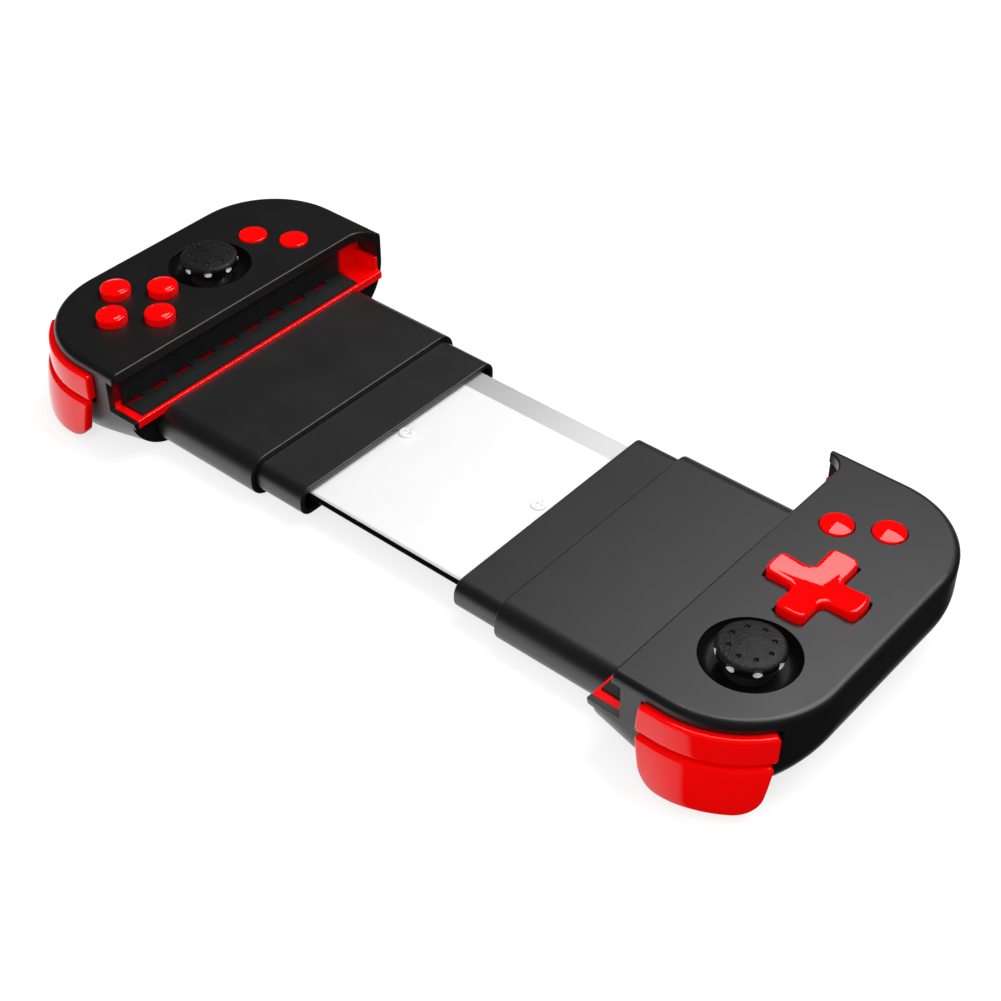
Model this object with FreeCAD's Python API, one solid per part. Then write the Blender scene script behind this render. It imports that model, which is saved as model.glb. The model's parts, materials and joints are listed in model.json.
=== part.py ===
import FreeCAD, Part
import math
import os

# A telescopic gamepad that holds a phone between two hand modules. All lengths are millimetres.
# X runs from the left hand module to the right one, Y away from the player, Z up out of the face.
# The origin is the middle of the space that the gamepad fills, on the surface that it lies on.
# One hand module is built on the +X side. The left hand module is its mirror image.

# Case of one hand module
half_opening = 84.4        # middle of the gamepad to the slot edge of the face
case_width = 42.1          # slot edge of the face to the outer wall
front_from_bridge = 49.3   # centre line of the sliding bridge to the front wall
rear_from_bridge = 50.0    # centre line of the sliding bridge to the rear wall
case_depth = 26.4          # face to underside
case_wall = 1.8
face_wall = 2.2
front_corner_r = 28.0
rear_corner_r = 26.0
face_edge_r = 2.0
front_under_r = 16.0       # rounding of the underside at the front end of the slot
shoulder_under_r = 8.0     # rounding of the underside under the shoulder keys
grip_rise = 2.7            # joint between the shells up to where the palm side starts to round
parting_depth = 12.1       # face to the joint between the two shells

# Slot that grips one end of the phone
slot_ceiling_depth = 3.0
slot_floor_depth = 12.6
slot_back = 2.8            # slot edge of the face to the red back wall
lip_reach = 6.6            # slot edge of the face to the tip of the red lip
ear_reach = 5.0            # slot edge of the face to the tip of the ear
ear_wall = 1.8
ear_thickness = 2.4        # rear wall to the edge of the face at the tip of the ear
ear_curve_start = 7.6      # rear wall to where the edge of the face starts to curve to the ear
ear_curve_reach = 1.45     # how far the middle of that curve reaches over the slot
ear_curve_middle = 4.3     # rear wall to the middle of that curve
back_wall = 1.6
liner_wall = 1.0
liner_end_height = 4.4
lip_skirt = 2.3
floor_pad_wall = 0.6
back_pad_wall = 0.8
pad_front_gap = 4.3        # front end of the liner to the pads
pad_rear_gap = 9.5         # ear to the pads
pad_lip_gap = 1.0
pad_notches = 9
pad_notch_pitch = 8.92
pad_notch_length = 5.5
pad_notch_depth = 1.5
pad_first_notch = 3.2      # front end of the pad to the middle of the first notch

# Telescopic bridge
bridge_side_room = 9.0     # front wall to the side of the outer sleeve
outer_height = 12.2
outer_edge_r = 5.5
mouth_edge_r = 0.4
outer_wall = 1.4
outer_mouth = 42.15        # middle of the gamepad to the mouth of the outer sleeve
outer_tail = 2.0           # reach of the outer sleeve past the slot edge of the face
sleeve_gap = 0.3
fit_gap = 0.02             # pressed or screwed pieces
inner_wall = 1.3
inner_length = 42.0
right_inner_mouth = 25.4
left_inner_mouth = 27.6
plate_half_length = 42.0
plate_side_room = 5.8      # side of the outer sleeve to the edge of the plate
plate_wall = 0.8
plate_lip = 1.4            # height of the bent edge of the plate
plate_edge_r = 0.9
plate_gap = 0.8            # plate to the inside of the inner sleeve
rail_height = 1.1          # floor of the inner sleeve to the top of its rails
tray_edge_inset = 0.9
tray_wall = 1.2
tray_ribs = 5
rail_width = 3.0
rail_offset = 22.0
guide_from_mouth = 3.0     # mouth of the inner sleeve to the guides beside the plate
stop_half_width = 8.0
stop_height = 1.0
stop_length = 2.0
stop_from_mouth = 8.6
tab_half_width = 3.6
tab_height = 0.6
tab_length = 4.0
groove_from_mouth = 17.6
screw_spacing = 23.2
plate_screw_r = 2.3
plate_screw_height = 0.5
plate_screw_shaft_r = 1.0
plate_screw_cross = 0.5
plate_screw_cross_half = 1.4
tray_boss_r = 2.6

# Analogue stick
stick_from_edge = 20.3     # slot edge of the face to the middle of the stick
right_stick_behind = 54.6  # front wall to the middle of the stick
left_stick_behind = 24.6
dish_r = 12.0
dish_depth = 3.9
bowl_reach = 3.0           # rim of the dish to the flat of its floor
dish_wall = 0.5
dish_floor_wall = 1.4
dome_gap = 0.3
pivot_depth = 8.0
dome_r = 7.2
dome_wall = 0.9
dome_angle = 78.0
cap_r = 8.3
cap_rim_height = 3.4
cap_crown = 0.5
cap_foot_depth = 0.5
cap_top_r = 1.0
cap_foot_inset = 3.0       # rim of the cap to the edge of its foot
cap_foot_rise = 2.6        # foot to where the side of the cap is upright
key_r = 2.6
key_height = 2.4
lever_r = 1.0
lever_foot = 1.6
pivot_half = 1.8
pivot_half_height = 1.0
trunnion_r = 0.7
running_gap = 0.05
yoke_half = 3.1
yoke_inner = 2.1
yoke_half_height = 1.3
upright_gap = 0.2
upright_wall = 1.2
upright_half_width = 1.3
upright_height = 1.2
stick_base_half = 5.7
stick_base_drop = 2.2      # pivot to the top of the stick base
stick_well_half = 2.3
stick_well_depth = 1.2

# Face buttons, small buttons and their rubber domes
cluster_behind = 27.3      # front wall to the middle of the four face buttons
cluster_pitch = 9.4
button_r = 4.35
button_height = 2.6
button_edge_r = 0.8
button_crown = 0.25
small_button_r = 4.25
small_button_height = 0.5
small_button_edge_r = 0.4
small_button_crown = 0.35
button_gap = 0.25
flange_r = 5.2
flange_wall = 1.0
flange_gap = 0.05
stem_r = 2.0
right_small_buttons = ((11.1, 79.5), (22.1, 73.5))
left_small_buttons = ((11.3, 74.4), (22.5, 80.2))
rubber_wall = 0.6
rubber_margin = 2.0
rubber_dome_height = 2.0
rubber_dome_foot_r = 3.4
rubber_dome_top_r = 2.2
stem_gap = 0.1

# Direction pad
pad_from_edge = 20.0
pad_behind = 52.1          # front wall to the middle of the direction pad
pad_reach = 12.8
pad_half_width = 3.9
pad_height = 2.5
pad_dip = 0.7              # how far the middle of the top lies below the tips
pad_tip_r = 1.4
pad_edge_r = 0.6
pad_inner_r = 2.0
pad_hole_gap = 0.4
pad_flange_reach = 13.8
pad_flange_half = 5.0
pad_flange_depth = 4.0
pad_flange_wall = 0.8
pad_pocket_half = 4.0
pad_pocket_depth = 1.9
pad_pivot_depth = 3.5
pad_stub_circle = 9.0
pad_stub_r = 1.8
gimbal_half = 2.2
gimbal_half_height = 1.0
gimbal_ear_wall = 1.2
gimbal_ear_half = 1.5
gimbal_ear_drop = 1.5
gimbal_pin_r = 0.8
post_shoulder_depth = 5.6

# Shoulder keys: a bumper above a trigger
bumper_from_edge = 8.9     # slot edge of the face to the inner end of the bumper
bumper_sweep = 55.0        # angle that the bumper follows round the front corner
bumper_top_depth = 3.6
bumper_bottom_depth = 11.4
bumper_proud_top = 1.2
bumper_proud_bottom = 1.8
bumper_edge_r = 0.7
bumper_corner_r = 1.6
bumper_inside = 1.6        # wall's outer face to the back of the bumper
window_gap = 0.4
window_end_angle = 2.4
trigger_top_depth = 12.3
trigger_bulge_depth = 20.0
trigger_bottom_depth = 24.2
trigger_from_edge = 10.4   # slot edge of the face to the inner end of the trigger
trigger_sweep = 51.0
trigger_proud_top = 2.5
trigger_proud = 4.8
trigger_wall = 2.2
trigger_stand_off = 0.4
trigger_corner_r = 6.0
trigger_edge_r = 0.7
trigger_window_depth = 19.0
trigger_pin_inset = 4.0    # wall's outer face to the trigger pin
trigger_pin_depth = 13.8
trigger_skew = 15.0        # angle of the trigger pin to the front wall, seen from above
trigger_eye_r = 1.9
trigger_arm_length = 2.6
trigger_arm_bottom = 17.2
trigger_first_arm = 11.6   # slot edge of the face to the inner arm
trigger_arm_span = 11.2
pin_r = 0.8
bumper_pin_from_edge = 9.4
bumper_pin_inset = 3.9
bumper_eye_r = 1.7
bumper_eye_top = 5.0
bumper_eye_bottom = 10.6
bumper_web = 1.2
bumper_rib_from_edge = 19.6
bumper_rib_half = 1.0
bumper_rib_top = 6.4
bumper_rib_bottom = 9.0
bumper_travel_at_rib = 0.7
bracket_from_edge = 7.6
bracket_block = 3.1
bracket_bottom = 18.0
bracket_back_inset = 6.3
bracket_back_wall = 1.4
bracket_cheek = 1.4
bracket_cheek_gap = 0.5
switch_half = 1.4
switch_wall = 1.4
trigger_switch_depth = 16.6
spring_r = 1.5
spring_leg = 0.5
leaf_wall = 0.3
leaf_half_height = 1.2

# Boards, fasteners and power
board_depth = 13.0
board_wall = 1.0
board_gap = 0.9
boss_r = 2.4
front_bosses = ((9.4, 13.9), (31.0, 38.3))
rear_bosses = ((9.8, 6.6), (30.6, 15.0))
screw_r = 1.0
screw_gap = 0.3
screw_head_r = 2.0
screw_head_height = 1.4
screw_seat = 6.0           # underside to the seat of the screw head
screw_well_r = 2.3
screw_reach = 6.0          # face to the tip of the screw
battery_size = (18.0, 34.0, 5.0)
battery_from_edge = 7.0
battery_from_rear = 24.0
battery_gap = 0.1
port_from_edge = 18.6
port_width = 9.0
port_height = 3.2
port_length = 7.4
port_wall = 0.4
port_recess = 2.0
port_tongue_half = 3.2
port_tongue_wall = 0.7
port_tongue_short = 1.2

# Places worked out from the sizes above
rear_y = -(rear_from_bridge + front_from_bridge + trigger_proud) / 2
mid_y = rear_y + rear_from_bridge
front_y = mid_y + front_from_bridge
grip_under_r = case_depth - parting_depth + grip_rise
outer_u = half_opening + case_width
ear_u = half_opening - ear_reach
lip_u = half_opening - lip_reach
liner_u = half_opening + slot_back
shell_slot_u = liner_u + liner_wall
inside_u = shell_slot_u + back_wall
tail_u = half_opening + outer_tail
ear_y = rear_y + ear_wall
arc_u = outer_u - front_corner_r
arc_y = front_y - front_corner_r
stick_u = half_opening + stick_from_edge
liner_front_y = front_y - case_wall
outer_half_width = front_from_bridge - bridge_side_room
outer_top_depth = slot_floor_depth + liner_wall
outer_bottom_depth = outer_top_depth + outer_height
inner_top_depth = outer_top_depth + outer_wall + sleeve_gap
inner_bottom_depth = outer_bottom_depth - outer_wall - sleeve_gap
inner_half_width = outer_half_width - outer_wall - sleeve_gap
inner_edge_r = outer_edge_r - outer_wall - sleeve_gap
plate_half_width = outer_half_width - plate_side_room
plate_top_depth = inner_top_depth + inner_wall + plate_gap
tray_top_depth = plate_top_depth + plate_wall
tray_bottom_depth = inner_bottom_depth - inner_wall - rail_height - sleeve_gap
pad_u = half_opening + pad_from_edge
trigger_pin_y = front_y - trigger_pin_inset
bumper_pin_u = half_opening + bumper_pin_from_edge
bumper_pin_y = front_y - bumper_pin_inset
rubber_top_depth = board_depth - rubber_wall - rubber_dome_height
stem_foot_depth = rubber_top_depth - stem_gap
bracket_u = half_opening + bracket_from_edge
bracket_back_y = front_y - bracket_back_inset

Vec = FreeCAD.Vector
UP = Vec(0, 0, 1)
ALONG = Vec(1, 0, 0)
AWAY = Vec(0, 1, 0)
FAR = 200.0                # longer than any piece, for cuts that run right through
TINY = 0.001               # lengths and distances closer than this count as equal


def height(depth):
    """Height above the resting surface of a point that lies this deep below the face."""
    return case_depth - depth


def across(y):
    """Y of a point given from the centre line of the bridge."""
    return mid_y + y


def behind(distance):
    """Y of a point this far behind the front wall."""
    return front_y - distance


def block(u0, u1, y0, y1, low, high):
    return Part.makeBox(u1 - u0, y1 - y0, high - low, Vec(u0, y0, low))


def drum(r, low, high, u, y):
    return Part.makeCylinder(r, high - low, Vec(u, y, low), UP)


def rod_x(r, u0, u1, y, z):
    return Part.makeCylinder(r, u1 - u0, Vec(u0, y, z), ALONG)


def rod_y(r, y0, y1, u, z):
    return Part.makeCylinder(r, y1 - y0, Vec(u, y0, z), AWAY)


def joined(first, *others):
    return first.fuse(list(others)).removeSplitter() if others else first


def loop(*points):
    """A face inside a chain of points; a point in the middle of an arc is given as a pair."""
    edges = []
    here = points[0]
    for point in points[1:] + (points[0],):
        if isinstance(point, tuple):
            edges.append(Part.Arc(here, point[0], point[1]).toShape())
            here = point[1]
        elif here.distanceToPoint(point) > TINY:
            edges.append(Part.LineSegment(here, point).toShape())
            here = point
    return Part.Face(Part.Wire(edges))


def edges_at(shape, test):
    return [e for e in shape.Edges if test(e.CenterOfMass, e)]


def turned(face, axis_point, axis, angle):
    return face.revolve(axis_point, axis, angle)


def plan_face(u_slot, inset, z):
    """Outline of the case seen from above, drawn in by an inset everywhere but at the slot."""
    front = front_y - inset
    rear = rear_y + inset
    outer = outer_u - inset
    front_r = front_corner_r - inset
    rear_r = rear_corner_r - inset
    half = math.sqrt(0.5)
    rear_mid = Vec(outer - rear_r + rear_r * half, rear + rear_r - rear_r * half, z)
    front_mid = Vec(outer - front_r + front_r * half, front - front_r + front_r * half, z)
    return loop(
        Vec(u_slot, rear, z),
        Vec(outer - rear_r, rear, z),
        (rear_mid, Vec(outer, rear + rear_r, z)),
        Vec(outer, front - front_r, z),
        (front_mid, Vec(outer - front_r, front, z)),
        Vec(u_slot, front, z),
    )


def round_under(shape, u_slot, low, inset):
    """Round the lower outer edges, tighter beside the slot than under the palm."""
    doc = FreeCAD.newDocument("rounding")
    base = doc.addObject("Part::Feature", "base")
    base.Shape = shape
    wanted = []
    for number, edge in enumerate(shape.Edges, 1):
        middle = edge.CenterOfMass
        if abs(middle.z - low) > TINY or middle.x < u_slot + TINY:
            continue
        ends = [edge.valueAt(edge.FirstParameter), edge.valueAt(edge.LastParameter)]
        radii = [under_r(end, u_slot) - inset for end in ends]
        wanted.append((number, radii[0], radii[1]))
    fillet = doc.addObject("Part::Fillet", "fillet")
    fillet.Base = base
    fillet.Edges = wanted
    doc.recompute()
    result = fillet.Shape.copy()
    FreeCAD.closeDocument(doc.Name)
    return result


def under_r(point, u_slot):
    """Radius of the underside's rounding at one end of a lower edge."""
    if point.x < u_slot + TINY and point.y > mid_y:
        return front_under_r
    return shoulder_under_r if point.y > arc_y + front_corner_r / 2 else grip_under_r


def case_body(u_slot, inset, low, high):
    """Solid bounded by the case outline, or by the outline of its inside."""
    body = plan_face(u_slot, inset, low).extrude(UP * (high - low))
    return round_under(body, u_slot, low, inset)


def rounded_bar(half_width, low, high, r, u0, u1):
    """Bar along X whose section is a rectangle with round corners, centred on the bridge."""
    half = r * (1 - math.sqrt(0.5))
    left = across(-half_width)
    right = across(half_width)
    face = loop(
        Vec(u0, left + r, low),
        Vec(u0, right - r, low),
        (Vec(u0, right - half, low + half), Vec(u0, right, low + r)),
        Vec(u0, right, high - r),
        (Vec(u0, right - half, high - half), Vec(u0, right - r, high)),
        Vec(u0, left + r, high),
        (Vec(u0, left + half, high - half), Vec(u0, left, high - r)),
        Vec(u0, left, low + r),
        (Vec(u0, left + half, low + half), Vec(u0, left + r, low)),
    )
    return face.extrude(ALONG * (u1 - u0))


def outer_sleeve_bar(grow, u0, u1):
    return rounded_bar(
        outer_half_width + grow,
        height(outer_bottom_depth) - grow,
        height(outer_top_depth) + grow,
        outer_edge_r + grow,
        u0,
        u1,
    )


def face_trim():
    """What is cut off the face plate at the slot, with the curved edge that leads to the ear."""
    tip_y = rear_y + ear_thickness
    outline = loop(
        Vec(ear_u - 1, tip_y, 0),
        Vec(ear_u, tip_y, 0),
        (Vec(half_opening - ear_curve_reach, rear_y + ear_curve_middle, 0),
         Vec(half_opening, rear_y + ear_curve_start, 0)),
        Vec(half_opening, front_y + 1, 0),
        Vec(ear_u - 1, front_y + 1, 0),
    )
    return outline.extrude(UP * FAR)


def stick_cup(u, y):
    """Bowl under the face round the stick, before the dish is cut into it."""
    return drum(dish_r + dish_wall, height(dish_depth + dish_floor_wall), height(face_wall), u, y)


def stick_dish(u, y):
    """Rounded dish, and the hole in its floor that follows the dome of the stick."""
    bowl_r = (bowl_reach ** 2 + dish_depth ** 2) / (2 * dish_depth)
    rim_angle = math.asin((bowl_r - dish_depth) / bowl_r)
    middle = (math.pi / 2 + rim_angle) / 2
    centre_z = height(dish_depth) + bowl_r
    flat = dish_r - bowl_reach
    section = loop(
        Vec(u, y, height(dish_depth)),
        Vec(u + flat, y, height(dish_depth)),
        (
            Vec(u + flat + bowl_r * math.cos(middle), y, centre_z - bowl_r * math.sin(middle)),
            Vec(u + dish_r, y, case_depth),
        ),
        Vec(u, y, case_depth),
    )
    dish = turned(section, Vec(u, y, 0), UP, 360)
    ball = Part.makeSphere(dome_r + dome_gap, Vec(u, y, height(pivot_depth)))
    return dish.fuse(ball)


def crowned_drum(r, low, top, edge_r, crown, u, y):
    """Upright round bar with a rounded rim and a top that rises by the crown in the middle."""
    flat = r - edge_r
    cut = 1 - math.sqrt(0.5)
    crown_r = (flat ** 2 + crown ** 2) / (2 * crown)
    middle = math.asin(flat / crown_r) / 2
    section = loop(
        Vec(u, y, low),
        Vec(u + r, y, low),
        Vec(u + r, y, top - edge_r),
        (Vec(u + r - edge_r * cut, y, top - edge_r * cut), Vec(u + flat, y, top)),
        (
            Vec(u + crown_r * math.sin(middle), y, top + crown - crown_r * (1 - math.cos(middle))),
            Vec(u, y, top + crown),
        ),
    )
    return turned(section, Vec(u, y, 0), UP, 360)


def pad_cross(reach, half, low, high, inner_r):
    """Cross of the direction pad, whose arms end in arcs about its centre."""
    y = behind(pad_behind)
    bar = block(pad_u - reach, pad_u + reach, y - half, y + half, low, high)
    other = block(pad_u - half, pad_u + half, y - reach, y + reach, low, high)
    cross = joined(bar, other)
    corners = edges_at(
        cross,
        lambda m, e: abs(abs(m.x - pad_u) - half) < TINY
        and abs(abs(m.y - y) - half) < TINY
        and abs(e.Length - (high - low)) < TINY,
    )
    cross = cross.makeFillet(inner_r, corners)
    return cross.common(drum(reach, low, high, pad_u, y))


def swept_key(profile, u_start, angle):
    """Sweep a profile of (proud, depth) points along the front wall and round its corner."""
    points = [Vec(arc_u, front_y + proud, height(depth)) for proud, depth in profile]
    face = loop(*points)
    corner = turned(face, Vec(arc_u, arc_y, 0), Vec(0, 0, -1), angle)
    straight = face.extrude(Vec(u_start - arc_u, 0, 0))
    return joined(straight, corner)


def elevation(u0, u1, top_depth, bottom_depth, top_r, bottom_r):
    """Prism through the front wall whose outline, seen from the front, has round corners."""
    low = height(bottom_depth)
    high = height(top_depth)
    y = arc_y
    cut = 1 - math.sqrt(0.5)
    face = loop(
        Vec(u0 + bottom_r, y, low),
        Vec(u1 - bottom_r, y, low),
        (Vec(u1 - bottom_r * cut, y, low + bottom_r * cut), Vec(u1, y, low + bottom_r)),
        Vec(u1, y, high - top_r),
        (Vec(u1 - top_r * cut, y, high - top_r * cut), Vec(u1 - top_r, y, high)),
        Vec(u0 + top_r, y, high),
        (Vec(u0 + top_r * cut, y, high - top_r * cut), Vec(u0, y, high - top_r)),
        Vec(u0, y, low + bottom_r),
        (Vec(u0 + bottom_r * cut, y, low + bottom_r * cut), Vec(u0 + bottom_r, y, low)),
    )
    return face.extrude(AWAY * FAR)


def key_end_u(proud, sweep):
    return arc_u + (front_corner_r + proud) * math.sin(math.radians(sweep))


def bumper_window():
    profile = (
        (-case_wall - bumper_pin_inset, bumper_top_depth - window_gap),
        (bumper_proud_bottom + 1, bumper_top_depth - window_gap),
        (bumper_proud_bottom + 1, parting_depth),
        (-case_wall - bumper_pin_inset, parting_depth),
    )
    return swept_key(profile, half_opening + bumper_from_edge - window_gap, bumper_sweep + window_end_angle)


def skewed(shape):
    """Turn what belongs to the trigger pin so that the pin follows the sweep of the trigger."""
    return shape.rotate(Vec(bracket_u + bracket_block, trigger_pin_y, 0), UP, -trigger_skew)


def trigger_window():
    """Slot in the front wall through which the arms of the trigger pass."""
    u0 = half_opening + trigger_first_arm - window_gap
    u1 = u0 + trigger_arm_span + 2 * window_gap
    low = height(trigger_window_depth)
    return skewed(block(u0, u1, trigger_pin_y, FAR, low, height(parting_depth)))


def boss_points():
    points = [(half_opening + u, behind(v)) for u, v in front_bosses]
    return points + [(half_opening + u, rear_y + v) for u, v in rear_bosses]


def case_shell():
    """Whole hollow case of a hand module, before it is split at the parting plane."""
    body = case_body(ear_u, 0, 0, case_depth)
    rim = edges_at(body, lambda m, e: abs(m.z - case_depth) < TINY and m.x > ear_u + TINY)
    body = body.makeFillet(face_edge_r, rim)
    slot = block(
        ear_u - 1, shell_slot_u, ear_y, front_y + 1,
        height(slot_floor_depth + liner_wall), height(slot_ceiling_depth),
    )
    over_slot = face_trim().common(block(ear_u - 1, outer_u, rear_y, front_y + 1,
                                         height(slot_ceiling_depth), case_depth + 1))
    inside = case_body(ear_u + case_wall, case_wall, case_wall, height(face_wall))
    floor_roof = height(slot_floor_depth + liner_wall + back_wall)
    keep = block(ear_u, inside_u, rear_y, front_y, floor_roof, case_depth)
    inside = inside.cut(keep)
    shell = body.cut([slot, over_slot, inside]).fuse(slot_front_rim()).removeSplitter()
    return shell.cut(outer_sleeve_bar(running_gap, 0, tail_u))


def slot_front_rim():
    """Part of the front wall that frames the end of the red lining."""
    floor = block(lip_u, shell_slot_u, liner_front_y, front_y,
                  height(slot_floor_depth + lip_skirt), height(slot_floor_depth))
    back = block(liner_u, shell_slot_u, liner_front_y, front_y,
                 height(slot_floor_depth), height(slot_ceiling_depth))
    return joined(floor, back).common(case_body(lip_u, 0, 0, case_depth))


def top_shell(shell, stick_y, holes, bosses_at):
    """Upper shell with its dish, its button holes, the bumper window and the screw bosses."""
    above = block(0, FAR, -FAR, FAR, height(parting_depth), case_depth)
    top = shell.common(above)
    solids = [stick_cup(stick_u, stick_y)]
    for u, y in bosses_at:
        solids.append(drum(boss_r, height(board_depth), height(face_wall), u, y))
    top = joined(top, *solids)
    cuts = [stick_dish(stick_u, stick_y), bumper_window()]
    for u, y in bosses_at:
        cuts.append(drum(screw_r + fit_gap, height(board_depth) - 1, height(screw_reach), u, y))
    top = top.cut(cuts + holes)
    return round_slot_edge(top)


def round_slot_edge(top):
    """Break the sharp edge of the face along the slot."""
    edge = edges_at(top, lambda m, e: abs(m.z - case_depth) < TINY
                    and m.x < half_opening + TINY and m.x > ear_u + TINY and e.Length > ear_reach)
    return top.makeFillet(face_edge_r / 4, edge)


def bottom_shell(shell, bosses_at, cuts):
    """Lower shell with the trigger window, the screw bosses and their wells."""
    below = block(0, FAR, -FAR, FAR, 0, height(parting_depth))
    bottom = shell.common(below)
    envelope = case_body(ear_u, 0, 0, case_depth)
    for u, y in bosses_at:
        post = drum(screw_well_r + case_wall / 2, 0, height(board_depth + board_wall), u, y)
        bottom = bottom.fuse(post.common(envelope))
    bottom = bottom.removeSplitter()
    wells = [drum(screw_well_r, -1, screw_seat, u, y) for u, y in bosses_at]
    bores = [drum(screw_r + screw_gap, 0, case_depth, u, y) for u, y in bosses_at]
    return bottom.cut(wells + bores + [trigger_window()] + cuts)


def slot_liner():
    """Red lining of the slot: back wall, floor with its lip, and a low end wall at the ear."""
    floor_low = height(slot_floor_depth + liner_wall)
    floor_high = height(slot_floor_depth)
    front = liner_front_y
    back = block(liner_u, shell_slot_u, ear_y, front, floor_low, height(slot_ceiling_depth))
    floor = block(lip_u, shell_slot_u, ear_y, front, floor_low, floor_high)
    skirt = block(lip_u, ear_u, ear_y, front, floor_high - lip_skirt, floor_high)
    end = block(ear_u, liner_u, ear_y, ear_y + liner_wall, floor_high, floor_high + liner_end_height)
    liner = joined(back, floor, skirt, end)
    liner = liner.cut(outer_sleeve_bar(0, 0, tail_u))
    lip = edges_at(liner, lambda m, e: abs(m.x - lip_u) < TINY and abs(m.z - floor_high) < TINY)
    return liner.makeFillet(liner_wall / 4, lip)


def back_pad():
    low = height(slot_floor_depth - floor_pad_wall)
    high = height(slot_ceiling_depth) - floor_pad_wall
    return block(liner_u - back_pad_wall, liner_u, ear_y + pad_rear_gap, front_y - pad_front_gap, low, high)


def floor_pad():
    """Rubber floor pad, with notches at its inner edge through which the liner shows."""
    low = height(slot_floor_depth)
    high = low + floor_pad_wall
    front = front_y - pad_front_gap
    pad = block(lip_u + pad_lip_gap, liner_u, ear_y + pad_rear_gap, front, low, high)
    notches = []
    for number in range(pad_notches):
        middle = front - pad_first_notch - number * pad_notch_pitch
        notches.append(block(
            liner_u - back_pad_wall - pad_notch_depth, liner_u + 1,
            middle - pad_notch_length / 2, middle + pad_notch_length / 2, low - 1, high + 1,
        ))
    return pad.cut(notches)


def outer_sleeve():
    """Outer sleeve: a flat tube fixed in the case, with a groove for the tab of the inner one."""
    bar = outer_sleeve_bar(0, outer_mouth, tail_u)
    hollow = outer_sleeve_bar(-outer_wall, outer_mouth - 1, tail_u - outer_wall)
    floor = height(outer_bottom_depth) + outer_wall
    groove = block(
        outer_mouth + groove_from_mouth, tail_u - outer_wall,
        across(-tab_half_width - sleeve_gap), across(tab_half_width + sleeve_gap),
        floor - tab_height - sleeve_gap / 2, floor + 1,
    )
    return round_mouth(bar, outer_mouth).cut([hollow, groove])


def round_mouth(bar, mouth):
    """Round the outer rim of a sleeve at its mouth."""
    return bar.makeFillet(mouth_edge_r, edges_at(bar, lambda m, e: abs(m.x - mouth) < TINY))


def inner_sleeve(mouth):
    """Inner sleeve: a flat tube with rails and a stop for the tray, and a tab at its tail."""
    tail = mouth + inner_length
    low = height(inner_bottom_depth)
    high = height(inner_top_depth)
    bar = rounded_bar(inner_half_width, low, high, inner_edge_r, mouth, tail)
    hollow = rounded_bar(
        inner_half_width - inner_wall, low + inner_wall, high - inner_wall,
        inner_edge_r - inner_wall, mouth - 1, tail + 1,
    )
    tube = round_mouth(bar, mouth).cut(hollow)
    floor = low + inner_wall
    rail_top = height(tray_bottom_depth) - sleeve_gap
    pieces = []
    for side in (-1, 1):
        y = across(side * rail_offset)
        pieces.append(block(mouth, tail, y - rail_width / 2, y + rail_width / 2, floor, rail_top))
    stop_u = mouth + stop_from_mouth
    pieces.append(block(stop_u - stop_length, stop_u, across(-stop_half_width), across(stop_half_width),
                        floor, floor + stop_height))
    pieces.append(block(tail - tab_length, tail, across(-tab_half_width), across(tab_half_width),
                        low - tab_height, low))
    near = plate_half_width + sleeve_gap
    between = block(0, FAR, across(-near), across(near), 0, case_depth)
    above = block(0, FAR, -FAR, FAR, height(tray_top_depth), case_depth)
    pieces.append(bar.common(block(mouth + guide_from_mouth, tail, -FAR, FAR, 0, case_depth))
                  .cut([between, above]))
    return joined(tube, *pieces)


def slider_plate():
    """Steel plate whose long edges are bent down over the tray."""
    top = height(plate_top_depth)
    low = top - plate_wall - plate_lip
    bar = rounded_bar(plate_half_width, low - 2 * plate_edge_r, top, plate_edge_r,
                      -plate_half_length, plate_half_length)
    hollow = block(-FAR, FAR, across(-plate_half_width) + plate_wall, across(plate_half_width) - plate_wall,
                   low - FAR, top - plate_wall)
    below = block(-FAR, FAR, -FAR, FAR, low - FAR, low)
    plate = bar.cut([hollow, below])
    shaft_r = plate_screw_shaft_r + fit_gap
    holes = [drum(shaft_r, low, top + 1, side * screw_spacing, across(0)) for side in (-1, 1)]
    return plate.cut(holes)


def slider_tray():
    """Plastic tray under the plate, ribbed below, with a stop tab at each end."""
    top = height(tray_top_depth)
    low = height(tray_bottom_depth)
    half = plate_half_width - plate_wall
    tray = block(-plate_half_length, plate_half_length, across(-half), across(half), low, top)
    ledge = height(tray_top_depth) - plate_lip
    for side in (-1, 1):
        edge = side * half
        near = min(edge, edge - side * tray_edge_inset)
        far = max(edge, edge - side * tray_edge_inset)
        tray = tray.cut(block(-FAR, FAR, across(near), across(far), low - 1, ledge - tray_wall))
    pocket_half = half - tray_edge_inset - 2 * tray_wall
    pitch = 2 * pocket_half / tray_ribs
    pockets = []
    for number in range(tray_ribs):
        y0 = across(-pocket_half + number * pitch) + tray_wall / 2
        y1 = across(-pocket_half + (number + 1) * pitch) - tray_wall / 2
        pockets.append(block(-plate_half_length + 3 * tray_wall, plate_half_length - 3 * tray_wall,
                             y0, y1, low - 1, top - tray_wall))
    tray = tray.cut(pockets)
    additions = []
    for side in (-1, 1):
        near = side * plate_half_length
        far = near - side * 2 * stop_length
        additions.append(block(min(near, far), max(near, far), across(-stop_half_width),
                               across(stop_half_width), low - stop_height, low))
        additions.append(drum(tray_boss_r, low, top, side * screw_spacing, across(0)))
    tray = joined(tray, *additions)
    shaft_r = plate_screw_shaft_r + fit_gap
    bores = [drum(shaft_r, low + tray_wall / 2, top + 1, side * screw_spacing, across(0))
             for side in (-1, 1)]
    return tray.cut(bores)


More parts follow.
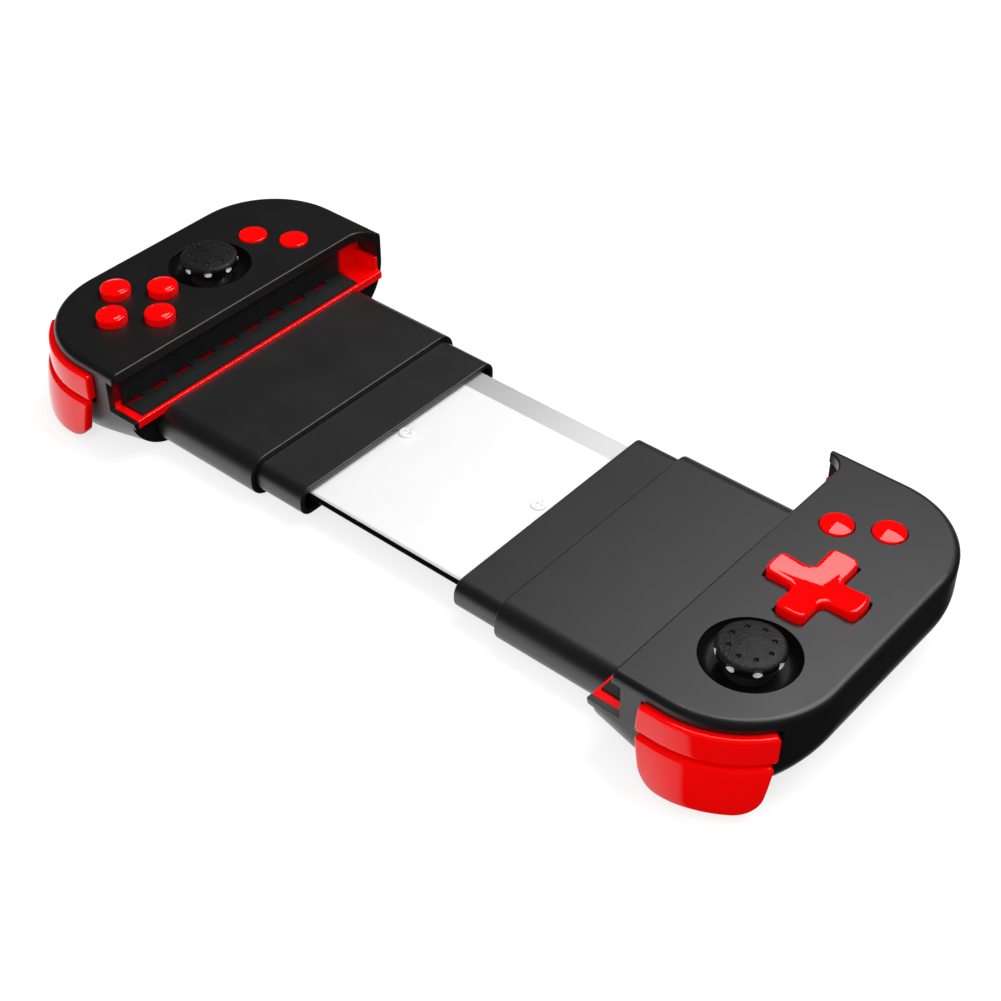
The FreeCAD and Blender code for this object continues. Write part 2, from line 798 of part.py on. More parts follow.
def slider_screws():
    """Two cross-head screws that hold the plate on the tray."""
    top = height(plate_top_depth)
    foot = height(tray_bottom_depth) + tray_wall / 2
    screws = []
    for side in (-1, 1):
        u = side * screw_spacing
        head = drum(plate_screw_r, top, top + plate_screw_height, u, across(0))
        rim = edges_at(head, lambda m, e: abs(m.z - top - plate_screw_height) < TINY)
        head = head.makeFillet(plate_screw_height / 2, rim)
        shaft = drum(plate_screw_shaft_r, foot, top, u, across(0))
        screw = joined(head, shaft)
        half = plate_screw_cross_half
        arm = plate_screw_cross / 2
        low = top + plate_screw_height / 4
        screws.append(screw.cut([
            block(u - half, u + half, across(-arm), across(arm), low, top + 1),
            block(u - arm, u + arm, across(-half), across(half), low, top + 1),
        ]))
    return Part.makeCompound(screws)


def stick_base(u, y):
    """Stick housing on the board, with two uprights that hold the yoke."""
    pivot = height(pivot_depth)
    top = pivot - stick_base_drop
    half = stick_base_half
    base = block(u - half, u + half, y - half, y + half, height(board_depth), top)
    well = stick_well_half
    base = base.cut(block(u - well, u + well, y - well, y + well, top - stick_well_depth, top + 1))
    near = yoke_half + upright_gap
    uprights = []
    for side in (-1, 1):
        u0 = u + side * near
        u1 = u0 + side * upright_wall
        uprights.append(block(min(u0, u1), max(u0, u1), y - upright_half_width, y + upright_half_width,
                              top, pivot + upright_height))
    base = joined(base, *uprights)
    return base.cut(rod_x(trunnion_r + running_gap, u - half, u + half, y, pivot))


def stick_yoke(u, y):
    """Yoke that tilts the stick away from and towards the player."""
    pivot = height(pivot_depth)
    outer = yoke_half
    inner = yoke_inner
    low = pivot - yoke_half_height
    high = pivot + yoke_half_height
    yoke = block(u - outer, u + outer, y - outer, y + outer, low, high)
    reach = yoke_half + upright_gap + upright_wall
    yoke = joined(yoke, rod_x(trunnion_r, u - reach, u + reach, y, pivot))
    yoke = yoke.cut(block(u - inner, u + inner, y - inner, y + inner, low - 1, high + 1))
    return yoke.cut(rod_y(trunnion_r + running_gap, y - outer, y + outer, u, pivot))


def stick_pivot(u, y):
    """Pivot block in the yoke, which tilts the stick sideways and guides its click."""
    pivot = height(pivot_depth)
    half = pivot_half
    part = block(u - half, u + half, y - half, y + half,
                 pivot - pivot_half_height, pivot + pivot_half_height)
    part = joined(part, rod_y(trunnion_r, y - yoke_half, y + yoke_half, u, pivot))
    return part.cut(drum(lever_r + running_gap, pivot - half, pivot + half, u, y))


def stick_lever(u, y):
    """Lever with the dome that closes the hole in the dish, and a key for the cap."""
    pivot = height(pivot_depth)
    angle = math.radians(dome_angle)
    outer_end = Vec(u + dome_r * math.sin(angle), y, pivot + dome_r * math.cos(angle))
    inner_r = dome_r - dome_wall
    inner_end = Vec(u + inner_r * math.sin(angle), y, pivot + inner_r * math.cos(angle))
    mid = angle / 2
    outer_mid = Vec(u + dome_r * math.sin(mid), y, pivot + dome_r * math.cos(mid))
    inner_mid = Vec(u + inner_r * math.sin(mid), y, pivot + inner_r * math.cos(mid))
    section = loop(
        Vec(u, y, pivot + inner_r),
        (inner_mid, inner_end),
        outer_end,
        (outer_mid, Vec(u, y, pivot + dome_r)),
    )
    dome = turned(section, Vec(u, y, 0), UP, 360)
    foot = height(cap_foot_depth)
    key = drum(key_r, pivot + dome_r - dome_wall, foot + key_height, u, y)
    lever = drum(lever_r, pivot - lever_foot, pivot + dome_r - dome_wall / 2, u, y)
    return joined(dome, key, lever)


def stick_cap(u, y):
    """Thumb cap: a crowned top, a side that draws in to its foot, and a socket for the key."""
    foot = height(cap_foot_depth)
    body = crowned_drum(cap_r, foot, height(-cap_rim_height), cap_top_r, cap_crown, u, y)
    root_half = math.sqrt(0.5)
    section = loop(
        Vec(u, y, foot),
        Vec(u + cap_r - cap_foot_inset, y, foot),
        (
            Vec(u + cap_r - cap_foot_inset * (1 - root_half), y, foot + cap_foot_rise * (1 - root_half)),
            Vec(u + cap_r, y, foot + cap_foot_rise),
        ),
        Vec(u + cap_r, y, case_depth + cap_r),
        Vec(u, y, case_depth + cap_r),
    )
    cap = body.common(turned(section, Vec(u, y, 0), UP, 360))
    socket = drum(key_r + running_gap, foot - 1, foot + key_height + running_gap, u, y)
    dome = Part.makeSphere(dome_r + running_gap, Vec(u, y, height(pivot_depth)))
    return cap.cut([socket, dome])


def round_button(u, y, r, proud, edge_r, crown):
    """Button with a crowned top, a flange under the face and a stem to its rubber dome."""
    flange_top = height(face_wall + flange_gap)
    cap = crowned_drum(r, flange_top - flange_wall, height(-proud), edge_r, crown, u, y)
    flange = drum(flange_r, flange_top - flange_wall, flange_top, u, y)
    stem = drum(stem_r, height(stem_foot_depth), flange_top - flange_wall, u, y)
    return joined(cap, flange, stem)


def button_hole(u, y, r):
    return drum(r + button_gap, height(2 * face_wall), case_depth + 1, u, y)


def rubber_domes(points, around):
    """Rubber sheet on the board with a dome under each button."""
    low = height(board_depth)
    u0 = min(u for u, y in points) - rubber_dome_foot_r - rubber_margin
    u1 = max(u for u, y in points) + rubber_dome_foot_r + rubber_margin
    y0 = min(y for u, y in points) - rubber_dome_foot_r - rubber_margin
    y1 = max(y for u, y in points) + rubber_dome_foot_r + rubber_margin
    sheet = block(u0, u1, y0, y1, low, low + rubber_wall)
    corners = edges_at(sheet, lambda m, e: abs(e.Length - rubber_wall) < TINY)
    sheet = sheet.makeFillet(rubber_margin, corners)
    foot = low + rubber_wall
    domes = [
        Part.makeCone(rubber_dome_foot_r, rubber_dome_top_r, rubber_dome_height, Vec(u, y, foot), UP)
        for u, y in points
    ]
    sheet = joined(sheet, *domes)
    bosses = [drum(boss_r + sleeve_gap, 0, case_depth, u, y) for u, y in boss_points()]
    return sheet.cut(around + bosses)


def direction_pad():
    """Cross with rounded tips, a flange under the face, four stubs and two gimbal ears."""
    top = height(-pad_height)
    flange_top = height(pad_flange_depth)
    flange_low = flange_top - pad_flange_wall
    y = behind(pad_behind)
    cross = pad_cross(pad_reach, pad_half_width, flange_low, top, pad_inner_r)
    sides = edges_at(cross, lambda m, e: abs(m.z - top) < TINY)
    cross = cross.makeFillet(pad_edge_r, sides)
    cross = cross.common(pad_envelope(flange_low, top, y))
    flange = pad_cross(pad_flange_reach, pad_flange_half, flange_low, flange_top, pad_inner_r)
    stubs = []
    for du, dy in ((1, 0), (-1, 0), (0, 1), (0, -1)):
        stubs.append(drum(pad_stub_r, height(stem_foot_depth), flange_low,
                          pad_u + du * pad_stub_circle, y + dy * pad_stub_circle))
    half = pad_pocket_half
    pocket = block(pad_u - half, pad_u + half, y - half, y + half, flange_low - 1, height(pad_pocket_depth))
    body = joined(cross, flange, *stubs).cut(pocket)
    near = gimbal_half + upright_gap
    low = height(pad_pivot_depth + gimbal_ear_drop)
    ears = []
    for side in (-1, 1):
        y0 = y + side * near
        y1 = y0 + side * gimbal_ear_wall
        ears.append(block(pad_u - gimbal_ear_half, pad_u + gimbal_ear_half, min(y0, y1), max(y0, y1),
                          low, height(pad_pocket_depth)))
    body = joined(body, *ears)
    bore = rod_y(gimbal_pin_r + running_gap, y - half, y + half, pad_u, height(pad_pivot_depth))
    return body.cut(bore)


def pad_envelope(low, top, y):
    """Round body that gives the direction pad its rounded tips and its dished top."""
    flat = pad_reach - pad_tip_r
    cut = 1 - math.sqrt(0.5)
    dish_ball_r = (flat ** 2 + pad_dip ** 2) / (2 * pad_dip)
    middle = math.asin(flat / dish_ball_r) / 2
    section = loop(
        Vec(pad_u, y, low),
        Vec(pad_u + pad_reach, y, low),
        Vec(pad_u + pad_reach, y, top - pad_tip_r),
        (Vec(pad_u + pad_reach - pad_tip_r * cut, y, top - pad_tip_r * cut), Vec(pad_u + flat, y, top)),
        (
            Vec(pad_u + dish_ball_r * math.sin(middle), y,
                top - pad_dip + dish_ball_r * (1 - math.cos(middle))),
            Vec(pad_u, y, top - pad_dip),
        ),
    )
    return turned(section, Vec(pad_u, y, 0), UP, 360)


def pad_gimbal():
    """Gimbal block in the middle of the direction pad, with two crossing pins."""
    y = behind(pad_behind)
    pivot = height(pad_pivot_depth)
    half = gimbal_half
    core = block(pad_u - half, pad_u + half, y - half, y + half,
                 pivot - gimbal_half_height, pivot + gimbal_half_height)
    reach = gimbal_half + upright_gap + gimbal_ear_wall
    return joined(core, rod_x(gimbal_pin_r, pad_u - reach, pad_u + reach, y, pivot),
                  rod_y(gimbal_pin_r, y - reach, y + reach, pad_u, pivot))


def pad_post():
    """Fork on the board that carries the gimbal of the direction pad."""
    y = behind(pad_behind)
    pivot = height(pad_pivot_depth)
    near = gimbal_half + upright_gap
    far = near + gimbal_ear_wall
    half = gimbal_ear_half
    shoulder = height(post_shoulder_depth)
    post = block(pad_u - far, pad_u + far, y - half, y + half, height(board_depth), shoulder)
    ears = []
    for side in (-1, 1):
        u0 = pad_u + side * near
        u1 = pad_u + side * far
        ears.append(block(min(u0, u1), max(u0, u1), y - half, y + half,
                          shoulder, pivot + gimbal_half_height))
    post = joined(post, *ears)
    return post.cut(rod_x(gimbal_pin_r + running_gap, pad_u - far, pad_u + far, y, pivot))


def pad_hole():
    """Cross-shaped hole in the face for the direction pad."""
    reach = pad_reach + pad_hole_gap
    half = pad_half_width + pad_hole_gap
    return pad_cross(reach, half, height(2 * face_wall), case_depth + 1, pad_inner_r)


def bracket_wall_y(u):
    """Y of the front of the skewed bracket wall at one place along it."""
    run = u - bracket_u - bracket_block
    angle = math.radians(trigger_skew)
    inset = (trigger_pin_y - bracket_back_y) / math.cos(angle)
    return trigger_pin_y - inset - run * math.tan(angle)


def bumper():
    """Shoulder bumper that follows the corner of the case, on a hinge eye at its inner end."""
    u0 = half_opening + bumper_from_edge
    profile = (
        (-bumper_inside, bumper_top_depth),
        (bumper_proud_top, bumper_top_depth),
        (bumper_proud_bottom, bumper_bottom_depth),
        (-bumper_inside, bumper_bottom_depth),
    )
    bar = swept_key(profile, u0, bumper_sweep)
    rims = outer_rims(bar, bumper_top_depth, bumper_proud_top)
    rims += outer_rims(bar, bumper_bottom_depth, bumper_proud_bottom)
    bar = bar.makeFillet(bumper_edge_r, rims)
    outline = elevation(u0, key_end_u(bumper_proud_bottom, bumper_sweep), bumper_top_depth,
                        bumper_bottom_depth, bumper_corner_r, bumper_corner_r / 2)
    bar = bar.common(outline)
    root_y = front_y - bumper_inside / 2
    eye_low = height(bumper_eye_bottom)
    eye_high = height(bumper_eye_top)
    eye = drum(bumper_eye_r, eye_low, eye_high, bumper_pin_u, bumper_pin_y)
    web = block(u0, bumper_pin_u + bumper_web, bumper_pin_y, root_y, eye_low, eye_high)
    rib_u = half_opening + bumper_rib_from_edge
    rib_end = bracket_wall_y(rib_u) + switch_wall + bumper_travel_at_rib
    rib = block(rib_u - bumper_rib_half, rib_u + bumper_rib_half, rib_end, root_y,
                height(bumper_rib_bottom), height(bumper_rib_top))
    key = joined(bar, eye, web, rib)
    return key.cut(drum(pin_r + running_gap, 0, case_depth, bumper_pin_u, bumper_pin_y))


def outer_rims(bar, depth, proud):
    """Long edges of a swept key on its outer face at one depth."""
    return edges_at(bar, lambda m, e: e.Length > window_gap * 10 and on_outer_line(e, depth, proud))


def on_outer_line(edge, depth, proud):
    """True for an edge that runs along the outer face at one depth."""
    point = edge.valueAt((edge.FirstParameter + edge.LastParameter) / 2)
    if abs(point.z - height(depth)) > TINY:
        return False
    if point.x <= arc_u + TINY:
        return abs(point.y - front_y - proud) < TINY
    away = math.hypot(point.x - arc_u, point.y - arc_y)
    return abs(away - front_corner_r - proud) < TINY


def trigger():
    """Trigger blade that follows the corner of the case, on two arms that reach its pin."""
    u0 = half_opening + trigger_from_edge
    profile = (
        (trigger_stand_off, trigger_top_depth),
        (trigger_proud_top, trigger_top_depth),
        (trigger_proud, trigger_bulge_depth),
        (trigger_proud - trigger_edge_r, trigger_bottom_depth),
        (trigger_proud - trigger_wall, trigger_bottom_depth),
        (trigger_stand_off, trigger_pin_depth),
    )
    blade = swept_key(profile, u0, trigger_sweep)
    blade = blade.makeFillet(trigger_edge_r, outer_rims(blade, trigger_top_depth, trigger_proud_top))
    outline = elevation(u0, key_end_u(trigger_proud, trigger_sweep), trigger_top_depth,
                        trigger_bottom_depth, trigger_edge_r, trigger_corner_r)
    blade = blade.common(outline)
    inmost = trigger_eye_r - front_corner_r
    inner_part = swept_key(
        (
            (inmost, trigger_pin_depth - trigger_eye_r),
            (trigger_stand_off * 2, trigger_pin_depth - trigger_eye_r),
            (trigger_stand_off * 2, trigger_arm_bottom),
            (inmost, trigger_arm_bottom),
        ),
        u0, bumper_sweep,
    )
    arms = []
    first = half_opening + trigger_first_arm
    pin_z = height(trigger_pin_depth)
    for start in (first, first + trigger_arm_span - trigger_arm_length):
        end = start + trigger_arm_length
        eye = rod_x(trigger_eye_r, start, end, trigger_pin_y, pin_z)
        arm = block(start, end, trigger_pin_y, FAR, height(trigger_arm_bottom), height(trigger_top_depth))
        arms.append(skewed(joined(eye, arm)).common(inner_part))
    bore = rod_x(pin_r + running_gap, first - 1, first + trigger_arm_span + 1, trigger_pin_y, pin_z)
    return joined(blade, *arms).cut(skewed(bore))


def shoulder_bracket():
    """Frame behind the shoulder keys: it holds both pins and both switches."""
    u0 = bracket_u
    u1 = u0 + bracket_block
    front = bumper_pin_y + bumper_eye_r
    back = bracket_back_y - bracket_back_wall
    low = height(bracket_bottom)
    column = block(u0, u1, back, front, low, height(face_wall))
    throat = block(u0 - 1, u1 + 1, bracket_back_y, front + 1,
                   height(bumper_eye_bottom + sleeve_gap), height(bumper_eye_top - sleeve_gap))
    column = column.cut(throat)
    cheek_u = half_opening + trigger_first_arm + trigger_arm_span + bracket_cheek_gap
    wall_top = height(bumper_rib_top - switch_half)
    wall = skewed(block(u1 - bracket_cheek, cheek_u + bracket_cheek, back, bracket_back_y, low, wall_top))
    pin_z = height(trigger_pin_depth)
    cheek = skewed(block(cheek_u, cheek_u + bracket_cheek, back, trigger_pin_y + trigger_eye_r,
                         pin_z - trigger_eye_r, pin_z + trigger_eye_r))
    frame = joined(column, wall, cheek)
    foot = height(bumper_eye_bottom + 2 * pin_r)
    upright = drum(pin_r + fit_gap, foot, case_depth, bumper_pin_u, bumper_pin_y)
    level = rod_x(pin_r + fit_gap, u0 + bracket_cheek / 2, FAR, trigger_pin_y, pin_z)
    return frame.cut([upright, skewed(level)])


def shoulder_pins():
    """Upright pin of the bumper and level pin of the trigger."""
    foot = height(bumper_eye_bottom + 2 * pin_r)
    bumper_pin = drum(pin_r, foot, height(face_wall), bumper_pin_u, bumper_pin_y)
    end = half_opening + trigger_first_arm + trigger_arm_span + bracket_cheek_gap + bracket_cheek
    trigger_pin = rod_x(pin_r, bracket_u + bracket_cheek / 2, end, trigger_pin_y, height(trigger_pin_depth))
    return Part.makeCompound([bumper_pin, skewed(trigger_pin)])


def switch_body(u, depth):
    """Small push switch on the back wall of the bracket."""
    z = height(depth)
    half = switch_half
    y0 = bracket_back_y
    body = block(u - half, u + half, y0, y0 + switch_wall * 3 / 4, z - half / 2, z + half / 2)
    return skewed(joined(body, rod_y(half / 3, y0, y0 + switch_wall, u, z)))


def shoulder_switches():
    """One push switch for the bumper and one for the trigger."""
    bumper_depth = (bumper_rib_top + bumper_rib_bottom) / 2
    middle = half_opening + trigger_first_arm + trigger_arm_length - switch_half / 2
    run = half_opening + bumper_rib_from_edge - bracket_u - bracket_block
    along = bracket_u + bracket_block + run / math.cos(math.radians(trigger_skew))
    return Part.makeCompound([switch_body(along, bumper_depth), switch_body(middle, trigger_switch_depth)])


def shoulder_springs():
    """Torsion spring on the trigger pin and leaf spring behind the bumper."""
    z = height(trigger_pin_depth)
    u0 = half_opening + trigger_first_arm + trigger_arm_length + window_gap
    u1 = u0 + trigger_arm_span - 2 * trigger_arm_length - 2 * window_gap
    coil = rod_x(spring_r, u0, u1, trigger_pin_y, z)
    coil = coil.cut(rod_x(pin_r + running_gap, u0, u1, trigger_pin_y, z))
    leg = block(u0, u0 + spring_leg, bracket_back_y, trigger_pin_y, z + spring_r - spring_leg, z + spring_r)
    torsion = skewed(joined(coil, leg))
    rise = height((bumper_rib_top + bumper_rib_bottom) / 2)
    u = half_opening + bumper_rib_from_edge - 3 * switch_half
    low = rise - leaf_half_height
    tip_y = front_y - bumper_inside - running_gap
    strip = loop(
        Vec(u, bracket_wall_y(u), low),
        Vec(u + leaf_wall, bracket_wall_y(u + leaf_wall), low),
        Vec(u + leaf_wall - switch_half, tip_y, low),
        Vec(u - switch_half, tip_y, low),
    )
    leaf = strip.extrude(UP * 2 * leaf_half_height)
    return Part.makeCompound([torsion, leaf])


def main_board(bosses_at, cuts):
    """Circuit board, clamped between the bosses of the two shells."""
    u0 = inside_u + board_gap
    z = height(board_depth + board_wall)
    board = plan_face(u0, case_wall + board_gap, z).extrude(UP * board_wall)
    front = skewed(block(0, FAR, bracket_back_y - bracket_back_wall - board_gap, FAR, 0, case_depth))
    holes = [drum(screw_r + screw_gap, 0, case_depth, u, y) for u, y in bosses_at]
    return board.cut([front] + holes + cuts)


def case_screws(bosses_at):
    """Screws that hold the two shells and the board together."""
    screws = []
    for u, y in bosses_at:
        head = drum(screw_head_r, screw_seat - screw_head_height, screw_seat, u, y)
        shaft = drum(screw_r, screw_seat, height(screw_reach), u, y)
        screws.append(joined(head, shaft))
    return Part.makeCompound(screws)


def battery():
    """Flat cell on the floor of the right hand module."""
    u0 = half_opening + battery_from_edge
    y0 = rear_y + battery_from_rear
    low = case_wall + battery_gap
    cell = block(u0, u0 + battery_size[0], y0, y0 + battery_size[1], low, low + battery_size[2])
    sides = edges_at(cell, lambda m, e: abs(e.Length - battery_size[2]) < TINY)
    return cell.makeFillet(battery_size[2] / 4, sides)


def port_bar(grow, y0, y1):
    """Bar along Y with the rounded section of the charging socket."""
    u = half_opening + port_from_edge
    high = height(board_depth + board_wall)
    low = high - port_height
    r = port_height / 2
    half = port_width / 2 - r
    middle = (low + high) / 2
    core = block(u - half, u + half, y0, y1, low - grow, high + grow)
    return joined(core, rod_y(r + grow, y0, y1, u - half, middle), rod_y(r + grow, y0, y1, u + half, middle))


def charge_port():
    """Charging socket: a metal shell with its tongue, under the board of the right hand module."""
    y0 = rear_y + port_recess
    y1 = y0 + port_length
    u = half_opening + port_from_edge
    middle = height(board_depth + board_wall) - port_height / 2
    shell = port_bar(0, y0, y1).cut(port_bar(-port_wall, y0 - 1, y1 - port_wall * 2))
    tongue = block(u - port_tongue_half, u + port_tongue_half, y0 + port_tongue_short, y1 - port_wall,
                   middle - port_tongue_wall / 2, middle + port_tongue_wall / 2)
    return joined(shell, tongue)


def cluster_points():
    """Middle of each face button with its name."""
    y = behind(cluster_behind)
    pitch = cluster_pitch
    return {
        "right_button_outer": (stick_u + pitch, y),
        "right_button_inner": (stick_u - pitch, y),
        "right_button_front": (stick_u, y + pitch),
        "right_button_rear": (stick_u, y - pitch),
    }


def pad_points():
    y = behind(pad_behind)
    circle = pad_stub_circle
    return [(pad_u + circle, y), (pad_u - circle, y), (pad_u, y + circle), (pad_u, y - circle)]


def small_points(places):
    """Middle of the inner and of the outer small button."""
    return [(half_opening + u, behind(v)) for u, v in places]


def shared_pieces(stick_behind, shell, holes, bottom_cuts, board_cuts, small, mouth):
    """Pieces that both hand modules have, for the module on the +X side."""
    y = behind(stick_behind)
    bosses_at = boss_points()
    pieces = {
        "inner_sleeve": inner_sleeve(mouth),
        "outer_sleeve": outer_sleeve(),
        "top_shell": top_shell(shell, y, holes, bosses_at),
        "bottom_shell": bottom_shell(shell, bosses_at, bottom_cuts),
        "slot_liner": slot_liner(),
        "back_pad": back_pad(),
        "floor_pad": floor_pad(),
        "main_board": main_board(bosses_at, board_cuts),
        "stick_base": stick_base(stick_u, y),
        "stick_yoke": stick_yoke(stick_u, y),
        "stick_pivot": stick_pivot(stick_u, y),
        "stick_lever": stick_lever(stick_u, y),
        "stick_cap": stick_cap(stick_u, y),
        "bumper": bumper(),
        "trigger": trigger(),
        "shoulder_bracket": shoulder_bracket(),
        "shoulder_pins": shoulder_pins(),
        "shoulder_switches": shoulder_switches(),
        "shoulder_springs": shoulder_springs(),
        "case_screws": case_screws(bosses_at),
    }
    for name, (u, v) in zip(("small_button_inner", "small_button_outer"), small):
        pieces[name] = round_button(u, v, small_button_r, small_button_height, small_button_edge_r,
                                    small_button_crown)
    return pieces


def right_module(shell):
    """Right hand module: four face buttons in front of the stick, battery and charging socket."""
    small = small_points(right_small_buttons)
    cluster = cluster_points()
    holes = [button_hole(u, y, small_button_r) for u, y in small]
    holes += [button_hole(u, y, button_r) for u, y in cluster.values()]
    socket_hole = port_bar(window_gap / 2, rear_y - 1, rear_y + port_length)
    pieces = shared_pieces(right_stick_behind, shell, holes, [socket_hole], [], small, right_inner_mouth)
    named = {"right_" + name: piece for name, piece in pieces.items()}
    for name, (u, y) in cluster.items():
        named[name] = round_button(u, y, button_r, button_height, button_edge_r, button_crown)
    named["right_rubber_domes"] = Part.makeCompound([
        rubber_domes(list(cluster.values()), []),
        rubber_domes(small, []),
    ])
    named["battery"] = battery()
    named["charge_port"] = charge_port()
    return named


def left_module(shell):
    """Left hand module: the stick in front of the direction pad, built mirrored."""
    small = small_points(left_small_buttons)
    holes = [button_hole(u, y, small_button_r) for u, y in small] + [pad_hole()]
    pieces = shared_pieces(left_stick_behind, shell, holes, [], [], small, left_inner_mouth)
    named = {"left_" + name: piece for name, piece in pieces.items()}
    y = behind(pad_behind)
    half = pad_pocket_half
    column = block(pad_u - half, pad_u + half, y - gimbal_half, y + gimbal_half, 0, case_depth)
    named["left_rubber_domes"] = Part.makeCompound([
        rubber_domes(pad_points(), [column]),
        rubber_domes(small, []),
    ])
    named["direction_pad"] = direction_pad()
    named["direction_pad_gimbal"] = pad_gimbal()
    named["direction_pad_post"] = pad_post()
    return {name: piece.mirror(Vec(0, 0, 0), ALONG) for name, piece in named.items()}


def build():
    shell = case_shell()
    pieces = {
        "slider_plate": slider_plate(),
        "slider_tray": slider_tray(),
        "slider_screws": slider_screws(),
    }
    pieces.update(right_module(shell))
    pieces.update(left_module(shell))
    return pieces


os.makedirs("parts", exist_ok=True)
for node, piece in build().items():
    piece.exportStep("parts/" + node + ".step")
    print(node, len(piece.Solids), "valid" if piece.isValid() else "INVALID", round(piece.Volume, 2))
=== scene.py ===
import json
import math

import bmesh
import bpy
from mathutils import Matrix, Vector
from mathutils.geometry import delaunay_2d_cdt


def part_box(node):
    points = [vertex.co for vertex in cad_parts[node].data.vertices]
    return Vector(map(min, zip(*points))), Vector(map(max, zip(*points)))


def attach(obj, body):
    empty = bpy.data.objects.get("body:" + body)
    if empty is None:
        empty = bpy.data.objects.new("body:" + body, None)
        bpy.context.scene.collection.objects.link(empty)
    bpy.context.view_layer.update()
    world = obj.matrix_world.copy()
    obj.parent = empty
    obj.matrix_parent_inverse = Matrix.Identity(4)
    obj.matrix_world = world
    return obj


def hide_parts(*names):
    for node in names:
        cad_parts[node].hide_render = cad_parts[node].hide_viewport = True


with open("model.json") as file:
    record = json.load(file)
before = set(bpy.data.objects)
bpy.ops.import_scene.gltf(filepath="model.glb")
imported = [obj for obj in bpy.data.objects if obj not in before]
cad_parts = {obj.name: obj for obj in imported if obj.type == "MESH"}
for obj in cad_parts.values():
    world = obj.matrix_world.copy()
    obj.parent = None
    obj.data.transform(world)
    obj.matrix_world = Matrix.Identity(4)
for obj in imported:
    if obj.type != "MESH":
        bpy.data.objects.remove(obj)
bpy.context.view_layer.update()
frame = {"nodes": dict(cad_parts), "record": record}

# Camera of the photograph, in metres
CAMERA_PLACE = Vector((-0.251553, 0.279570, 0.3210))
CAMERA_RIGHT = Vector((-0.76134, -0.64834, -0.00391))
CAMERA_UP = Vector((0.41950, -0.49700, 0.75940))
CAMERA_LENS = 66.28
CAMERA_SENSOR = 36.0

# Softbox behind the gamepad, in metres and degrees: where its lower left corner lies from a point on the
# left module, how much further round and up the direction lies that it faces back along, and its size
BOX_ANCHOR = Vector((-0.104, -0.005, 0.027))
BOX_DISTANCE = 1.0
BOX_LEFT = 62.0
BOX_LOW = 42.2
BOX_TURN = 30.0
BOX_RISE = 15.0
BOX_WIDTH = 0.86
BOX_HEIGHT = 0.56
BOX_RADIANCE = 4.7

# Lamp in front of the gamepad, which reflections don't show
FILL_PLACE = (-0.35, 1.0, 0.75)
FILL_SIZE = (1.2, 0.9)
FILL_RADIANCE = 2.2

# Floor: half its side, how far it lies below the object, its grey, and the light that only the camera sees
FLOOR_HALF = 6.0
FLOOR_DROP = 0.00005
FLOOR_GREY = 0.35
FLOOR_GLOW = 0.72

# World: its even light, the least brightness that reflections find, and how this grows with the Z and X of
# a direction, each as (from, to, value at from, value at to)
ROOM_LIGHT = 0.6
DIM_REFLECTION = 0.02
BRIGHT_BELOW = (0.0, -0.15, 0.0, 1.0)
BRIGHT_RIGHT = (-0.06, 0.01, 0.0, 1.0)
BRIGHTER_RIGHT = (0.0, 0.4, 0.65, 1.25)

NODES = frame["nodes"]
BODY_OF = {node: body for body, members in frame["record"]["behaviour"]["bodies"].items() for node in members}

# Outer wall of a hand module, seen from above: straight at the front, then round the corner
MM = 0.001
FACE_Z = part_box("right_top_shell")[1].z
OUTER_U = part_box("right_top_shell")[1].x
FRONT_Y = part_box("right_top_shell")[1].y
FRONT_CORNER_R = 28.0 * MM
SLOT_EDGE_U = OUTER_U - 42.1 * MM
CORNER_U = OUTER_U - FRONT_CORNER_R
CORNER_Y = FRONT_Y - FRONT_CORNER_R

# Shoulder keys, in mm: corners as (distance along the wall from the slot edge, depth below the face, radius)
BUMPER_OUTLINE = ((8.7, 3.4, 1.1), (41.0, 3.4, 1.3), (40.7, 11.0, 0.9), (8.4, 11.0, 0.9))
BUMPER_PROUD = ((3.4, 1.8), (7.2, 2.15), (11.0, 2.25))
BUMPER_EDGE_R = 0.7
BUMPER_BACK = -1.6
TRIGGER_OUTLINE = ((8.9, 11.6, 0.9), (39.9, 11.6, 0.9), (36.8, 24.8, 6.5), (11.3, 24.8, 6.0))
TRIGGER_PROUD = ((11.6, 3.0), (17.5, 4.2), (24.8, 4.8))
TRIGGER_SAG = 2.0
TRIGGER_SAG_FROM = 22.0
TRIGGER_EDGE_R = 0.9
TRIGGER_WALL = 2.2
TRIGGER_STAND_OFF = 0.4

# Meshes of the shoulder keys: spacing of their points in mm, how far the CAD part behind reaches into each,
# and the directions round the corner in which that part is cut, in degrees
KEY_GRID = 0.7
KEY_STEP = 0.5
BUMPER_OVERLAP = 0.4
TRIGGER_OVERLAP = 0.2
CORNER_TURNS = range(0, 70, 10)

# Thumb cap, in mm, from its middle and from the face
CAP_R = 8.3
CAP_RIM = 3.4
CAP_CROWN = 0.5
CAP_SHOULDER_R = 1.3
CAP_FOOT_R = 7.1
CAP_FOOT = -0.5
CAP_FOOT_EDGE_R = 0.3
CAP_SIDE = 2.0
CAP_MATTE_ABOVE = 2.7
DIMPLES = 8
DIMPLE_CIRCLE = 5.3
DIMPLE_R = 0.7
DIMPLE_RISE = 0.1
SIDE_DIMPLE_R = 1.2
SIDE_DIMPLE_HEIGHT = 1.9
SIDE_DIMPLE_CIRCLE = 8.6

# Buttons, in mm: radius, height over the face, rounding of the rim, crown
ROUND_BUTTON = (4.35, 2.45, 0.7, 0.8)
SMALL_BUTTON = (4.25, 0.5, 0.4, 0.6)
BUTTON_FLANGE_R = 5.2
BUTTON_FLANGE = (-3.25, -2.25)
BUTTON_STEM_R = 2.0
BUTTON_STEM_FOOT = -10.3

